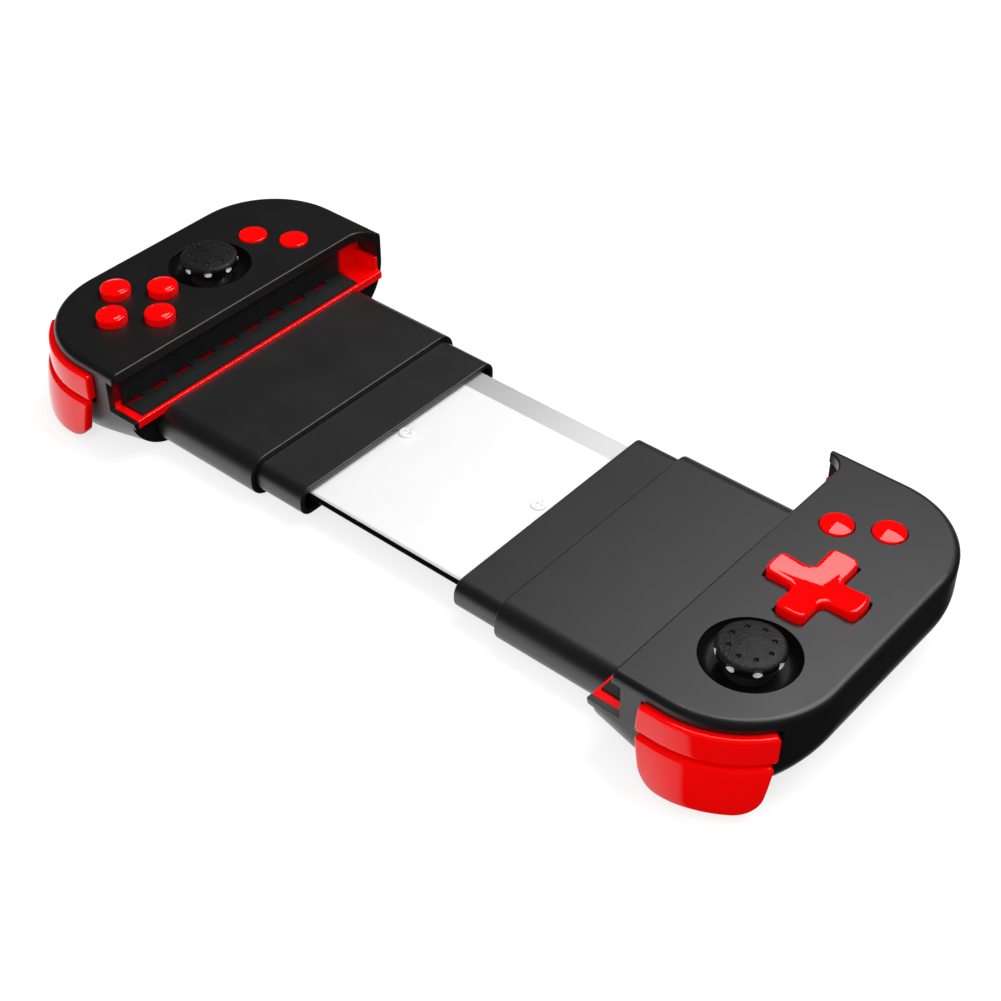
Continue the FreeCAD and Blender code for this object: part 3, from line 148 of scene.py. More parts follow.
# Direction pad, in mm
PAD_REACH = 12.8
PAD_HALF_WIDTH = 3.9
PAD_HEIGHT = 2.5
PAD_DIP = 0.7
PAD_TIP_R = 1.6
PAD_INNER_R = 2.0
PAD_END_R = 13.0
PAD_EDGE_R = 0.8
PAD_BACK = -2.5
PAD_JOIN = -2.0
PAD_GRID = 0.6
PAD_STEP = 0.4

# Edges sharper than this are not smoothed, in degrees
SHARP_FROM = 40.0
CAP_SHARP_FROM = 30.0

# Slider plate: its rear margin and its lip in mm, and the painted shade of margin and field, in place of a
# weaker reflection, as (X from, X to, tone at from, tone at to), in metres
PLATE_MARGIN = 8.0
PLATE_LIP = 0.5
PLATE_MARGIN_PAINTED_SHADE = (-0.03, 0.034, 0.64, 0.50)
PLATE_FIELD_PAINTED_SHADE = (0.0, 0.036, 1.0, 0.60)
PLATE_METALLIC = 0.45

# Dishes round the sticks: where the dimmed sheen ends, in mm, and the share of it that is left
DISH_R = (11.7, 12.0)
DISH_SHEEN = 0.25

# Slot lining: the places between which its painted shade sets in, in metres, for |X|, Y, Y and Z
LINER_LIP = (0.0800, 0.0860)
LINER_REAR = (-0.0440, -0.0400)
LINER_FRONT = (0.0430, 0.0436)
LINER_FOOT = (0.0145, 0.0165)

# Range of noise values that colours and roughness are spread over
NOISE_RANGE = (0.3, 0.7)

# Colours that several finishes share, darkest and lightest
CASE_BLACK = ((0.0045, 0.0045, 0.0048), (0.0055, 0.0055, 0.0058))
BRIGHT_RED = ((0.88, 0.0008, 0.001), (0.92, 0.001, 0.0015))
# Deep red of the slot lining: painted shade where the slot lies in shadow
SHADED_RED = (0.16, 0.0004, 0.002)


def new_material(name):
    """Empty node material with its Principled shader."""
    material = bpy.data.materials.new(name)
    material.use_nodes = True
    tree = material.node_tree
    shader = tree.nodes["Principled BSDF"]
    return material, tree, shader


def split_axes(tree, kind="Object"):
    """X, Y and Z outputs of the place on the object, or of another kind of coordinates."""
    coords = tree.nodes.new("ShaderNodeTexCoord")
    axes = tree.nodes.new("ShaderNodeSeparateXYZ")
    tree.links.new(coords.outputs[kind], axes.inputs[0])
    return [axes.outputs[axis] for axis in "XYZ"]


def texture_noise(tree, scale, detail=2.0, coords=None):
    """Noise value, on the place on the object unless other coordinates are given."""
    node = tree.nodes.new("ShaderNodeTexNoise")
    node.inputs["Scale"].default_value = scale
    node.inputs["Detail"].default_value = detail
    if coords is None:
        coords = tree.nodes.new("ShaderNodeTexCoord").outputs["Object"]
    tree.links.new(coords, node.inputs["Vector"])
    return node.outputs["Fac"]


def remap(tree, value, low, high, to_low, to_high):
    """Value stretched from one range to another, and held at its ends."""
    node = tree.nodes.new("ShaderNodeMapRange")
    node.inputs["From Min"].default_value = low
    node.inputs["From Max"].default_value = high
    node.inputs["To Min"].default_value = to_low
    node.inputs["To Max"].default_value = to_high
    tree.links.new(value, node.inputs["Value"])
    return node.outputs["Result"]


def math_node(tree, operation, first, second):
    """Math on two values, each a number or an output."""
    node = tree.nodes.new("ShaderNodeMath")
    node.operation = operation
    for socket, value in zip(node.inputs, (first, second)):
        if isinstance(value, (int, float)):
            socket.default_value = value
        else:
            tree.links.new(value, socket)
    return node.outputs[0]


def add_bump(tree, shader, heights, strength, distance, edge_r=0.0):
    """Chain bumps from a list of height values onto the shader's normal, over softened edges."""
    last = None
    if edge_r > 0.0:
        bevel = tree.nodes.new("ShaderNodeBevel")
        bevel.samples = 6
        bevel.inputs["Radius"].default_value = edge_r
        last = bevel
    for value in heights:
        bump = tree.nodes.new("ShaderNodeBump")
        bump.inputs["Strength"].default_value = strength
        bump.inputs["Distance"].default_value = distance
        tree.links.new(value, bump.inputs["Height"])
        if last is not None:
            tree.links.new(last.outputs["Normal"], bump.inputs["Normal"])
        last = bump
    tree.links.new(last.outputs["Normal"], shader.inputs["Normal"])


def varied_color(tree, shader, dark, light, value):
    """Base colour from dark to light, by a value over the range of the noise."""
    ramp = tree.nodes.new("ShaderNodeValToRGB")
    for index, color in enumerate((dark, light)):
        ramp.color_ramp.elements[index].position = NOISE_RANGE[index]
        ramp.color_ramp.elements[index].color = (*color, 1.0)
    tree.links.new(value, ramp.inputs["Fac"])
    tree.links.new(ramp.outputs["Color"], shader.inputs["Base Color"])


def varied_roughness(tree, shader, value, least, most):
    """Roughness from least to most, by a value over the range of the noise."""
    tree.links.new(remap(tree, value, *NOISE_RANGE, least, most), shader.inputs["Roughness"])


def dim_dishes(material):
    """Take the sheen off the dishes round the sticks."""
    tree = material.node_tree
    shader = tree.nodes["Principled BSDF"]
    full = shader.inputs["Specular IOR Level"].default_value
    x, y, _ = split_axes(tree)
    left, right = middle_of("left_stick_cap"), middle_of("right_stick_cap")
    aside = math_node(tree, "SUBTRACT", math_node(tree, "ABSOLUTE", x, 0.0), right.x)
    behind = math_node(tree, "SUBTRACT", y, remap(tree, x, -MM, MM, left.y, right.y))
    away = math_node(tree, "ADD", math_node(tree, "MULTIPLY", aside, aside),
                     math_node(tree, "MULTIPLY", behind, behind))
    inner, outer = ((r * MM) ** 2 for r in DISH_R)
    sheen = remap(tree, away, inner, outer, full * DISH_SHEEN, full)
    tree.links.new(sheen, shader.inputs["Specular IOR Level"])


def satin_plastic(name, dark, light, rough, edge_r=0.0002, specular=0.5):
    """Moulded plastic with a fine spark-eroded grain."""
    material, tree, shader = new_material(name)
    shader.inputs["Specular IOR Level"].default_value = specular
    varied_color(tree, shader, dark, light, texture_noise(tree, 60.0))
    grain = texture_noise(tree, 4500.0, 3.0)
    varied_roughness(tree, shader, texture_noise(tree, 90.0), rough - 0.02, rough + 0.02)
    add_bump(tree, shader, [grain], 0.15, 0.00002, edge_r)
    return material


def gloss_plastic(name, dark, light, rough=0.05, edge_r=0.00025):
    """Coloured gloss plastic with the slight waviness of a moulding."""
    material, tree, shader = new_material(name)
    shader.inputs["Specular IOR Level"].default_value = 0.5
    varied_color(tree, shader, dark, light, texture_noise(tree, 40.0))
    varied_roughness(tree, shader, texture_noise(tree, 120.0), rough * 0.8, rough * 1.2)
    add_bump(tree, shader, [texture_noise(tree, 150.0)], 0.02, 0.00005, edge_r)
    return material


def matte_rubber(name, dark, light, rough, grain_scale, grain_depth):
    """Rubber with a grain of the given scale and depth."""
    material, tree, shader = new_material(name)
    shader.inputs["Specular IOR Level"].default_value = 0.35
    varied_color(tree, shader, dark, light, texture_noise(tree, 200.0))
    varied_roughness(tree, shader, texture_noise(tree, 500.0), rough - 0.05, rough + 0.05)
    add_bump(tree, shader, [texture_noise(tree, grain_scale, 3.0)], 0.6, grain_depth)
    return material


def liner_plastic(name, bright, shaded):
    """Red lining of a slot: bright at its lip, rear end and the foot of its front end, else deep red as
    painted shade where the slot lies in shadow.
    """
    material, tree, shader = new_material(name)
    x, y, z = split_axes(tree)
    inward = remap(tree, math_node(tree, "ABSOLUTE", x, 0.0), *LINER_LIP, 0.0, 1.0)
    forward = remap(tree, y, *LINER_REAR, 0.0, 1.0)
    behind_end = remap(tree, y, *LINER_FRONT, 1.0, 0.0)
    above_foot = remap(tree, z, *LINER_FOOT, 0.0, 1.0)
    shaded_end = math_node(tree, "MAXIMUM", behind_end, above_foot)
    # Painted shade: deep red towards the back wall and on the front end above its foot, where the slot lies
    # in shadow; the waves are random tone
    depth = math_node(tree, "MULTIPLY", math_node(tree, "MULTIPLY", inward, forward), shaded_end)
    waves = math_node(tree, "MULTIPLY", texture_noise(tree, 40.0), 0.1)
    varied_color(tree, shader, bright, shaded, math_node(tree, "ADD", depth, waves))
    varied_roughness(tree, shader, texture_noise(tree, 120.0), 0.12, 0.18)
    add_bump(tree, shader, [texture_noise(tree, 150.0)], 0.02, 0.00005, 0.00015)
    return material


def steel(name, dark, light, rough, stretch):
    """Metal with fine lines drawn along one direction."""
    material, tree, shader = new_material(name)
    shader.inputs["Metallic"].default_value = 1.0
    coords = tree.nodes.new("ShaderNodeTexCoord")
    mapping = tree.nodes.new("ShaderNodeMapping")
    mapping.inputs["Scale"].default_value = stretch
    tree.links.new(coords.outputs["Object"], mapping.inputs["Vector"])
    lines = texture_noise(tree, 900.0, coords=mapping.outputs["Vector"])
    varied_color(tree, shader, dark, light, lines)
    varied_roughness(tree, shader, lines, rough * 0.95, rough * 1.05)
    add_bump(tree, shader, [lines], 0.02, 0.00001)
    return material


def plate_steel(name, strip_edge, lip):
    """Satin plate: painted shade makes it darker along its rear edge and towards the right, in place of a
    weaker reflection there; black flanks below its lip.
    """
    material, tree, shader = new_material(name)
    x, y, z = split_axes(tree)
    margin = remap(tree, y, strip_edge - 0.0001, strip_edge + 0.0001, 0.0, 1.0)
    above = remap(tree, z, lip - 0.00005, lip + 0.00005, 0.0, 1.0)
    # Painted shade in place of a weaker reflection: margin and field darken towards +X; the cloud is random
    # tone
    strip = remap(tree, x, *PLATE_MARGIN_PAINTED_SHADE)
    field = remap(tree, x, *PLATE_FIELD_PAINTED_SHADE)
    step = math_node(tree, "MULTIPLY", margin, math_node(tree, "SUBTRACT", field, strip))
    cloud = math_node(tree, "MULTIPLY", texture_noise(tree, 30.0), 0.03)
    tone = math_node(tree, "SUBTRACT", math_node(tree, "ADD", strip, step), cloud)
    varied_color(tree, shader, (0.004, 0.004, 0.004), (0.98, 0.98, 0.985),
                 math_node(tree, "MULTIPLY", tone, above))
    tree.links.new(math_node(tree, "MULTIPLY", above, PLATE_METALLIC), shader.inputs["Metallic"])
    tree.links.new(math_node(tree, "MULTIPLY", above, 0.5), shader.inputs["Specular IOR Level"])
    varied_roughness(tree, shader, texture_noise(tree, 300.0), 0.48, 0.52)
    add_bump(tree, shader, [texture_noise(tree, 2500.0)], 0.02, 0.00001, 0.0002)
    return material


def make_materials():
    """One material for each slot of the record, and those of the finer pieces."""
    plate_low, plate_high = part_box("slider_plate")
    return {
        "shell_plastic": satin_plastic("shell", *CASE_BLACK, 0.38, specular=0.65),
        "sleeve_plastic": satin_plastic("sleeve", *CASE_BLACK, 0.42, specular=0.85),
        "red_plastic": gloss_plastic("red", *BRIGHT_RED, 0.03),
        "key_red": gloss_plastic("key_red", *BRIGHT_RED, 0.05, 0.0),
        "pad_red": gloss_plastic("pad_red", *BRIGHT_RED, 0.02, 0.0),
        "liner_red_painted_shade": liner_plastic("liner_red_painted_shade", BRIGHT_RED[0], SHADED_RED),
        "cap_side": gloss_plastic("cap_side", (0.003, 0.003, 0.003), (0.004, 0.004, 0.004), 0.12, 0.0001),
        "black_rubber": matte_rubber("pad_rubber", (0.006, 0.007, 0.007), (0.009, 0.010, 0.010), 0.6,
                                     1500.0, 0.00005),
        "stick_rubber": matte_rubber("stick_rubber", (0.005, 0.005, 0.005), (0.010, 0.010, 0.010), 0.5,
                                     1500.0, 0.0003),
        "polished_steel": plate_steel("polished_steel", plate_low.y + PLATE_MARGIN * MM,
                                      plate_high.z - PLATE_LIP * MM),
        # Pale colour in the side dimples of the thumb caps: painted highlights where glossy dimples would
        # catch the light
        "cap_painted_highlight": satin_plastic("cap_painted_highlight", (0.55, 0.55, 0.56), (0.6, 0.6, 0.61), 0.3, 0.0),
        "tray_plastic": satin_plastic("tray", (0.008, 0.008, 0.009), (0.012, 0.012, 0.013), 0.35),
        "inner_plastic": satin_plastic("inner", (0.14, 0.14, 0.15), (0.17, 0.17, 0.18), 0.5, 0.0),
        "board_laminate": satin_plastic("board", (0.01, 0.10, 0.04), (0.015, 0.13, 0.055), 0.35, 0.0),
        "silicone": matte_rubber("silicone", (0.5, 0.51, 0.53), (0.56, 0.57, 0.59), 0.45, 600.0, 0.00003),
        "zinc_steel": steel("zinc_steel", (0.55, 0.55, 0.57), (0.65, 0.65, 0.67), 0.3, (1.0, 1.0, 0.1)),
        "dark_screw": steel("dark_screw", (0.08, 0.08, 0.085), (0.13, 0.13, 0.135), 0.35, (1.0, 1.0, 0.1)),
        "cell_wrap": satin_plastic("cell_wrap", (0.25, 0.27, 0.30), (0.3, 0.32, 0.35), 0.4, 0.0),
    }


def dress_nodes(materials):
    """Give every CAD node the finish of its slot."""
    dim_dishes(materials["shell_plastic"])
    for part in frame["record"]["subparts"]:
        # The slot linings take a red with painted shade instead of their slot's finish
        finish = "liner_red_painted_shade" if part["node"].endswith("slot_liner") else part["material_slot"]
        node = NODES[part["node"]]
        node.data.materials.clear()
        node.data.materials.append(materials[finish])


def mesh_piece(name, bm, node):
    """Object from a bmesh: it stands for a CAD node, which it hides, and has its body."""
    bmesh.ops.recalc_face_normals(bm, faces=bm.faces)
    mesh = bpy.data.meshes.new(name)
    bm.to_mesh(mesh)
    bm.free()
    mesh.shade_smooth()
    mesh.set_sharp_from_angle(angle=math.radians(SHARP_FROM))
    piece = bpy.data.objects.new(name, mesh)
    bpy.context.collection.objects.link(piece)
    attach(piece, BODY_OF[node])
    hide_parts(node)
    return piece


def round_outline(corners, gap):
    """Closed outline through corners (a, b, radius), as points about this far apart."""
    bends = []
    for index, corner in enumerate(corners):
        here = Vector(corner[:2])
        to_last = (Vector(corners[index - 1][:2]) - here).normalized()
        to_next = (Vector(corners[(index + 1) % len(corners)][:2]) - here).normalized()
        half = to_last.angle(to_next) / 2
        middle = here + (to_last + to_next).normalized() * corner[2] / math.sin(half)
        start = here + to_last * corner[2] / math.tan(half) - middle
        end = here + to_next * corner[2] / math.tan(half) - middle
        steps = max(4, math.ceil((math.pi - 2 * half) * corner[2] / gap))
        bends.append([middle + (start.lerp(end, step / steps)).normalized() * corner[2]
                      for step in range(steps + 1)])
    points = []
    for index, bend in enumerate(bends):
        points += bend
        first = bends[(index + 1) % len(bends)][0]
        pieces = max(1, math.ceil((first - bend[-1]).length / gap))
        points += [bend[-1].lerp(first, step / pieces) for step in range(1, pieces)]
    return points


def inset(points, distance):
    """Outline moved inwards by a distance; its points run the same way round."""
    area = sum(p.cross(points[(index + 1) % len(points)]) for index, p in enumerate(points))
    turn = 1.0 if area > 0 else -1.0
    moved = []
    for index, point in enumerate(points):
        along = (points[(index + 1) % len(points)] - points[index - 1]).normalized()
        moved.append(point + Vector((-along.y, along.x)) * turn * distance)
    return moved


def is_inside(point, outline):
    """Whether a point lies inside a closed outline."""
    inside = False
    for index, end in enumerate(outline):
        start = outline[index - 1]
        if (start.y > point.y) != (end.y > point.y):
            if point.x < start.x + (point.y - start.y) * (end.x - start.x) / (end.y - start.y):
                inside = not inside
    return inside


def filled(outline, gap):
    """Triangles over the inside of an outline, on a grid of points."""
    margin = inset(outline, gap * 0.5)
    low_a, high_a = min(p.x for p in outline), max(p.x for p in outline)
    low_b, high_b = min(p.y for p in outline), max(p.y for p in outline)
    points = list(outline)
    for column in range(1, math.ceil((high_a - low_a) / gap)):
        for row in range(1, math.ceil((high_b - low_b) / gap)):
            point = Vector((low_a + column * gap, low_b + row * gap))
            if is_inside(point, margin):
                points.append(point)
    edges = [(index, (index + 1) % len(outline)) for index in range(len(outline))]
    found = delaunay_2d_cdt(points, edges, [], 1, 1e-6)
    return found[0], found[2]


def bridge(bm, first, second):
    """Quads between two closed rings of vertices."""
    for index in range(len(first)):
        after = (index + 1) % len(first)
        bm.faces.new((first[index], first[after], second[after], second[index]))


def shaped_plate(outline, edge_r, place, front, back, gap):
    """Closed plate over an outline, with a rounded front edge. Place turns (a, b, lift) into a point."""
    bm = bmesh.new()

    def ring(points, lift):
        return [bm.verts.new(place(p.x, p.y, lift(p))) for p in points]

    rings = []
    steps = 5
    for step in range(steps + 1):
        angle = math.pi / 2 * step / steps
        points = inset(outline, edge_r * (1 - math.cos(angle)))
        drop = edge_r * (1 - math.sin(angle))
        rings.append(ring(points, lambda p: front(p) - drop))
    inner = inset(outline, edge_r)
    flat, faces = filled(inner, gap)
    for lift, rim in ((front, rings[-1]), (back, None)):
        if rim is None:
            rim = ring(inner, back)
            outer = ring(outline, back)
            bridge(bm, outer, rim)
            bridge(bm, rings[0], outer)
        verts = list(rim)
        verts += [bm.verts.new(place(p.x, p.y, lift(p))) for p in flat[len(inner):]]
        for face in faces:
            bm.faces.new([verts[index] for index in face])
    for first, second in zip(rings, rings[1:]):
        bridge(bm, first, second)
    return bm


def through_three(table, value):
    """Smooth value through three (place, value) pairs."""
    total = 0.0
    for index, (place, result) in enumerate(table):
        others = [pair[0] for number, pair in enumerate(table) if number != index]
        weight = (value - others[0]) * (value - others[1])
        total += result * weight / ((place - others[0]) * (place - others[1]))
    return total


def on_wall(side, run, depth, proud):
    """Point on a module's front wall: this far along it, below the face and in front of it, in mm."""
    straight = CORNER_U - SLOT_EDGE_U
    run, depth, proud = run * MM, depth * MM, proud * MM
    if run < straight:
        return Vector((side * (SLOT_EDGE_U + run), FRONT_Y + proud, FACE_Z - depth))
    angle = (run - straight) / FRONT_CORNER_R
    reach = FRONT_CORNER_R + proud
    return Vector((side * (CORNER_U + reach * math.sin(angle)), CORNER_Y + reach * math.cos(angle),
                   FACE_Z - depth))


def add_behind(bm, node, planes):
    """Add the part of a CAD node that lies behind all of these planes, each a (point, normal)."""
    part = bmesh.new()
    part.from_mesh(NODES[node].data)
    bmesh.ops.remove_doubles(part, verts=part.verts, dist=1e-7)
    for point, normal in planes:
        geometry = part.verts[:] + part.edges[:] + part.faces[:]
        cut = bmesh.ops.bisect_plane(part, geom=geometry, plane_co=point, plane_no=normal, clear_outer=True)
        edges = [item for item in cut["geom_cut"] if isinstance(item, bmesh.types.BMEdge)]
        bmesh.ops.holes_fill(part, edges=edges, sides=0)
    mesh = bpy.data.meshes.new("inner_half")
    part.to_mesh(mesh)
    part.free()
    bm.from_mesh(mesh)
    bpy.data.meshes.remove(mesh)


def wall_planes(side, proud):
    """Planes this far in front of a module's front wall and of its corner."""
    corner = Vector((side * CORNER_U, CORNER_Y, 0.0))
    planes = []
    for turn in CORNER_TURNS:
        normal = Vector((side * math.sin(math.radians(turn)), math.cos(math.radians(turn)), 0.0))
        planes.append((corner + normal * (FRONT_CORNER_R + proud * MM), normal))
    return planes


def make_keys(side, name, materials):
    """Bumper and trigger of one module, with the arms and hinge eyes of the CAD nodes behind them."""
    def place(run, depth, proud):
        return on_wall(side, run, depth, proud)

    def trigger_front(p):
        depth_share = (p.y - TRIGGER_PROUD[0][0]) / (TRIGGER_PROUD[2][0] - TRIGGER_PROUD[0][0])
        sag = max(0.0, (TRIGGER_SAG_FROM - p.x) / (TRIGGER_SAG_FROM - TRIGGER_OUTLINE[0][0])) ** 2
        return through_three(TRIGGER_PROUD, p.y) - TRIGGER_SAG * sag * max(0.0, depth_share)

    def trigger_back(p):
        return max(TRIGGER_STAND_OFF, trigger_front(p) - TRIGGER_WALL)

    bumper = shaped_plate(round_outline(BUMPER_OUTLINE, KEY_STEP), BUMPER_EDGE_R, place,
                          lambda p: through_three(BUMPER_PROUD, p.y), lambda p: BUMPER_BACK, KEY_GRID)
    add_behind(bumper, name + "_bumper", wall_planes(side, BUMPER_BACK + BUMPER_OVERLAP))
    trigger = shaped_plate(round_outline(TRIGGER_OUTLINE, KEY_STEP), TRIGGER_EDGE_R, place, trigger_front,
                           trigger_back, KEY_GRID)
    add_behind(trigger, name + "_trigger", wall_planes(side, TRIGGER_STAND_OFF + TRIGGER_OVERLAP))
    for key, bm in (("bumper", bumper), ("trigger", trigger)):
        piece = mesh_piece(f"{name}_{key}_key", bm, f"{name}_{key}")
        piece.data.materials.append(materials["key_red"])


def arc(centre, r, start, end, steps):
    """Points (radius, height) along an arc, angles in degrees from outwards to up."""
    points = []
    for step in range(steps + 1):
        angle = math.radians(start + (end - start) * step / steps)
        points.append((centre[0] + r * math.cos(angle), centre[1] + r * math.sin(angle)))
    return points


def crown_points(flat_r, crown, top, steps=12):
    """Points (radius, height) over a shallow dome, from its rim to its middle."""
    dome_r = (flat_r ** 2 + crown ** 2) / (2 * crown)
    reach = math.degrees(math.asin(flat_r / dome_r))
    return arc((0.0, top + crown - dome_r), dome_r, 90.0 - reach, 90.0, steps)


def turned_shape(profile, centre, around=96):
    """Closed body from a profile of (radius, height over the face) in mm that ends on the axis."""
    bm = bmesh.new()
    rings = []
    for r, z in profile:
        if r < 1e-6:
            rings.append([bm.verts.new((centre.x, centre.y, FACE_Z + z * MM))])
            continue
        rings.append([
            bm.verts.new((centre.x + r * MM * math.cos(math.tau * step / around),
                          centre.y + r * MM * math.sin(math.tau * step / around), FACE_Z + z * MM))
            for step in range(around)
        ])
    for first, second in zip(rings, rings[1:]):
        if len(first) == 1 or len(second) == 1:
            tip, rim = (first[0], second) if len(first) == 1 else (second[0], first)
            for index in range(around):
                bm.faces.new((tip, rim[index], rim[(index + 1) % around]))
        else:
            bridge(bm, first, second)
    return bm


def middle_of(node):
    """Middle of a CAD node's box."""
    low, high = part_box(node)
    return (low + high) / 2


def cut_balls(piece, balls):
    """Cut a dimple out of the piece for each (centre, radius)."""
    bm = bmesh.new()
    for centre, r in balls:
        bmesh.ops.create_uvsphere(bm, u_segments=28, v_segments=18, radius=r,
                                  matrix=Matrix.Translation(centre))
    mesh = bpy.data.meshes.new("cutter")
    bm.to_mesh(mesh)
    bm.free()
    cutter = bpy.data.objects.new("cutter", mesh)
    bpy.context.collection.objects.link(cutter)
    modifier = piece.modifiers.new("dimples", "BOOLEAN")
    modifier.operation = "DIFFERENCE"
    modifier.solver = "EXACT"
    modifier.object = cutter
    bpy.context.view_layer.update()
    ready = bpy.data.meshes.new_from_object(piece.evaluated_get(bpy.context.evaluated_depsgraph_get()))
    piece.modifiers.remove(modifier)
    old = piece.data
    piece.data = ready
    bpy.data.meshes.remove(old)
    bpy.data.objects.remove(cutter)
    bpy.data.meshes.remove(mesh)


def make_cap(name, materials):
    """Thumb cap: matte crowned top with a ring of dimples, glossy side with a ring of larger ones, whose
    upward-facing halves carry pale painted highlights.
    """
    node = name + "_stick_cap"
    centre = middle_of(node)
    flat_r = CAP_R - CAP_SHOULDER_R
    edge_r, edge_z = CAP_FOOT_R - CAP_FOOT_EDGE_R, CAP_FOOT + CAP_FOOT_EDGE_R
    profile = [(0.0, CAP_FOOT), (CAP_FOOT_R * 0.5, CAP_FOOT), (edge_r, CAP_FOOT)]
    profile += arc((edge_r, edge_z), CAP_FOOT_EDGE_R, -90.0, -20.0, 4)
    reach = CAP_R - CAP_FOOT_R
    rise = CAP_SIDE - CAP_FOOT - CAP_FOOT_EDGE_R
    steps = 12
    for step in range(1, steps + 1):
        angle = math.pi / 2 * step / steps
        profile.append((CAP_FOOT_R + reach * math.sin(angle), edge_z + rise * (1 - math.cos(angle))))
    profile += arc((flat_r, CAP_RIM - CAP_SHOULDER_R), CAP_SHOULDER_R, 0.0, 80.0, 9)
    profile += crown_points(flat_r, CAP_CROWN, CAP_RIM)
    piece = mesh_piece(f"{name}_thumb_cap", turned_shape(profile, centre, around=128), node)
    balls = []
    for number in range(DIMPLES):
        angle = math.tau * number / DIMPLES
        out = Vector((math.cos(angle), math.sin(angle), 0.0))
        top = Vector((centre.x, centre.y, FACE_Z + (CAP_RIM + CAP_CROWN * 0.5 + DIMPLE_RISE) * MM))
        balls.append((top + out * DIMPLE_CIRCLE * MM, DIMPLE_R * MM))
        side = Vector((centre.x, centre.y, FACE_Z + SIDE_DIMPLE_HEIGHT * MM))
        balls.append((side + out * SIDE_DIMPLE_CIRCLE * MM, SIDE_DIMPLE_R * MM))
    cut_balls(piece, balls)
    piece.data.materials.clear()
    for finish in ("cap_side", "stick_rubber", "cap_painted_highlight"):
        piece.data.materials.append(materials[finish])
    for face in piece.data.polygons:
        in_dimple = any((face.center - ball).length < ball_r * 0.999 for ball, ball_r in balls)
        if face.center.z > FACE_Z + CAP_MATTE_ABOVE * MM:
            face.material_index = 1
        # Upward-facing faces of the side dimples: painted highlights
        elif in_dimple and face.normal.z > 0.1:
            face.material_index = 2
        else:
            face.material_index = 0
    piece.data.shade_smooth()
    piece.data.set_sharp_from_angle(angle=math.radians(CAP_SHARP_FROM))


def make_button(node, sizes, materials):
    """Button with a crowned top, its flange and its stem."""
    r, proud, edge_r, crown = sizes
    low, high = BUTTON_FLANGE
    profile = [(0.0, BUTTON_STEM_FOOT), (BUTTON_STEM_R, BUTTON_STEM_FOOT), (BUTTON_STEM_R, low),
               (BUTTON_FLANGE_R, low), (BUTTON_FLANGE_R, high), (r, high)]
    profile += arc((r - edge_r, proud - edge_r), edge_r, 0.0, 80.0, 8)
    profile += crown_points(r - edge_r, crown, proud)
    piece = mesh_piece(node + "_cap", turned_shape(profile, middle_of(node)), node)
    piece.data.materials.append(materials["red_plastic"])


def cross_outline(gap):
    """Outline of the direction pad: four arms with ends about its middle and rounded corners."""
    end_angle = math.asin(PAD_HALF_WIDTH / PAD_REACH)
    corner = PAD_REACH * math.cos(end_angle)
    quarter = [(corner, -PAD_HALF_WIDTH, PAD_TIP_R), (PAD_REACH, 0.0, PAD_END_R),
               (corner, PAD_HALF_WIDTH, PAD_TIP_R), (PAD_HALF_WIDTH, PAD_HALF_WIDTH, PAD_INNER_R)]
    corners = []
    for turn in range(4):
        cos, sin = round(math.cos(math.pi / 2 * turn)), round(math.sin(math.pi / 2 * turn))
        corners += [(a * cos - b * sin, a * sin + b * cos, r) for a, b, r in quarter]
    return round_outline(corners, gap)


def make_direction_pad(materials):
    """Cross with a dished top, over the stubs of the CAD node."""
    node = "direction_pad"
    centre = middle_of(node)

    def place(a, b, lift):
        return Vector((centre.x + a * MM, centre.y + b * MM, FACE_Z + lift * MM))

    bm = shaped_plate(cross_outline(PAD_STEP), PAD_EDGE_R, place,
                      lambda p: PAD_HEIGHT - PAD_DIP * (1 - (p.length / PAD_REACH) ** 2),
                      lambda p: PAD_BACK, PAD_GRID)
    add_behind(bm, node, [(Vector((0.0, 0.0, FACE_Z + PAD_JOIN * MM)), Vector((0.0, 0.0, 1.0)))])
    piece = mesh_piece("direction_pad_cross", bm, node)
    piece.data.materials.append(materials["pad_red"])


def make_pieces(materials):
    """Finer pieces that take the place of CAD nodes."""
    for side, name in ((-1, "left"), (1, "right")):
        make_keys(side, name, materials)
        make_cap(name, materials)
        for place in ("inner", "outer"):
            make_button(f"{name}_small_button_{place}", SMALL_BUTTON, materials)
    for place in ("outer", "inner", "front", "rear"):
        make_button(f"right_button_{place}", ROUND_BUTTON, materials)
    make_direction_pad(materials)


def make_camera():
    """Camera at the photograph's place and angle."""
    data = bpy.data.cameras.new("camera")
    data.lens = CAMERA_LENS
    data.sensor_width = CAMERA_SENSOR
    data.sensor_height = CAMERA_SENSOR
    camera = bpy.data.objects.new("camera", data)
    bpy.context.collection.objects.link(camera)
    right = CAMERA_RIGHT.normalized()
    back = right.cross(CAMERA_UP).normalized()
    up = back.cross(right)
    turn = Matrix((right, up, back)).transposed().to_4x4()
    camera.matrix_world = Matrix.Translation(CAMERA_PLACE) @ turn
    bpy.context.scene.camera = camera


def lamp(name, place, target, size, radiance):
    """Rectangular softbox; its power follows from its size and its radiance."""
    data = bpy.data.lights.new(name, "AREA")
    data.shape = "RECTANGLE"
    data.size, data.size_y = size
    data.energy = radiance * math.pi * size[0] * size[1]
    light = bpy.data.objects.new(name, data)
    bpy.context.collection.objects.link(light)
    light.location = place
    light.rotation_euler = (Vector(target) - Vector(place)).to_track_quat("-Z", "Y").to_euler()
    return light


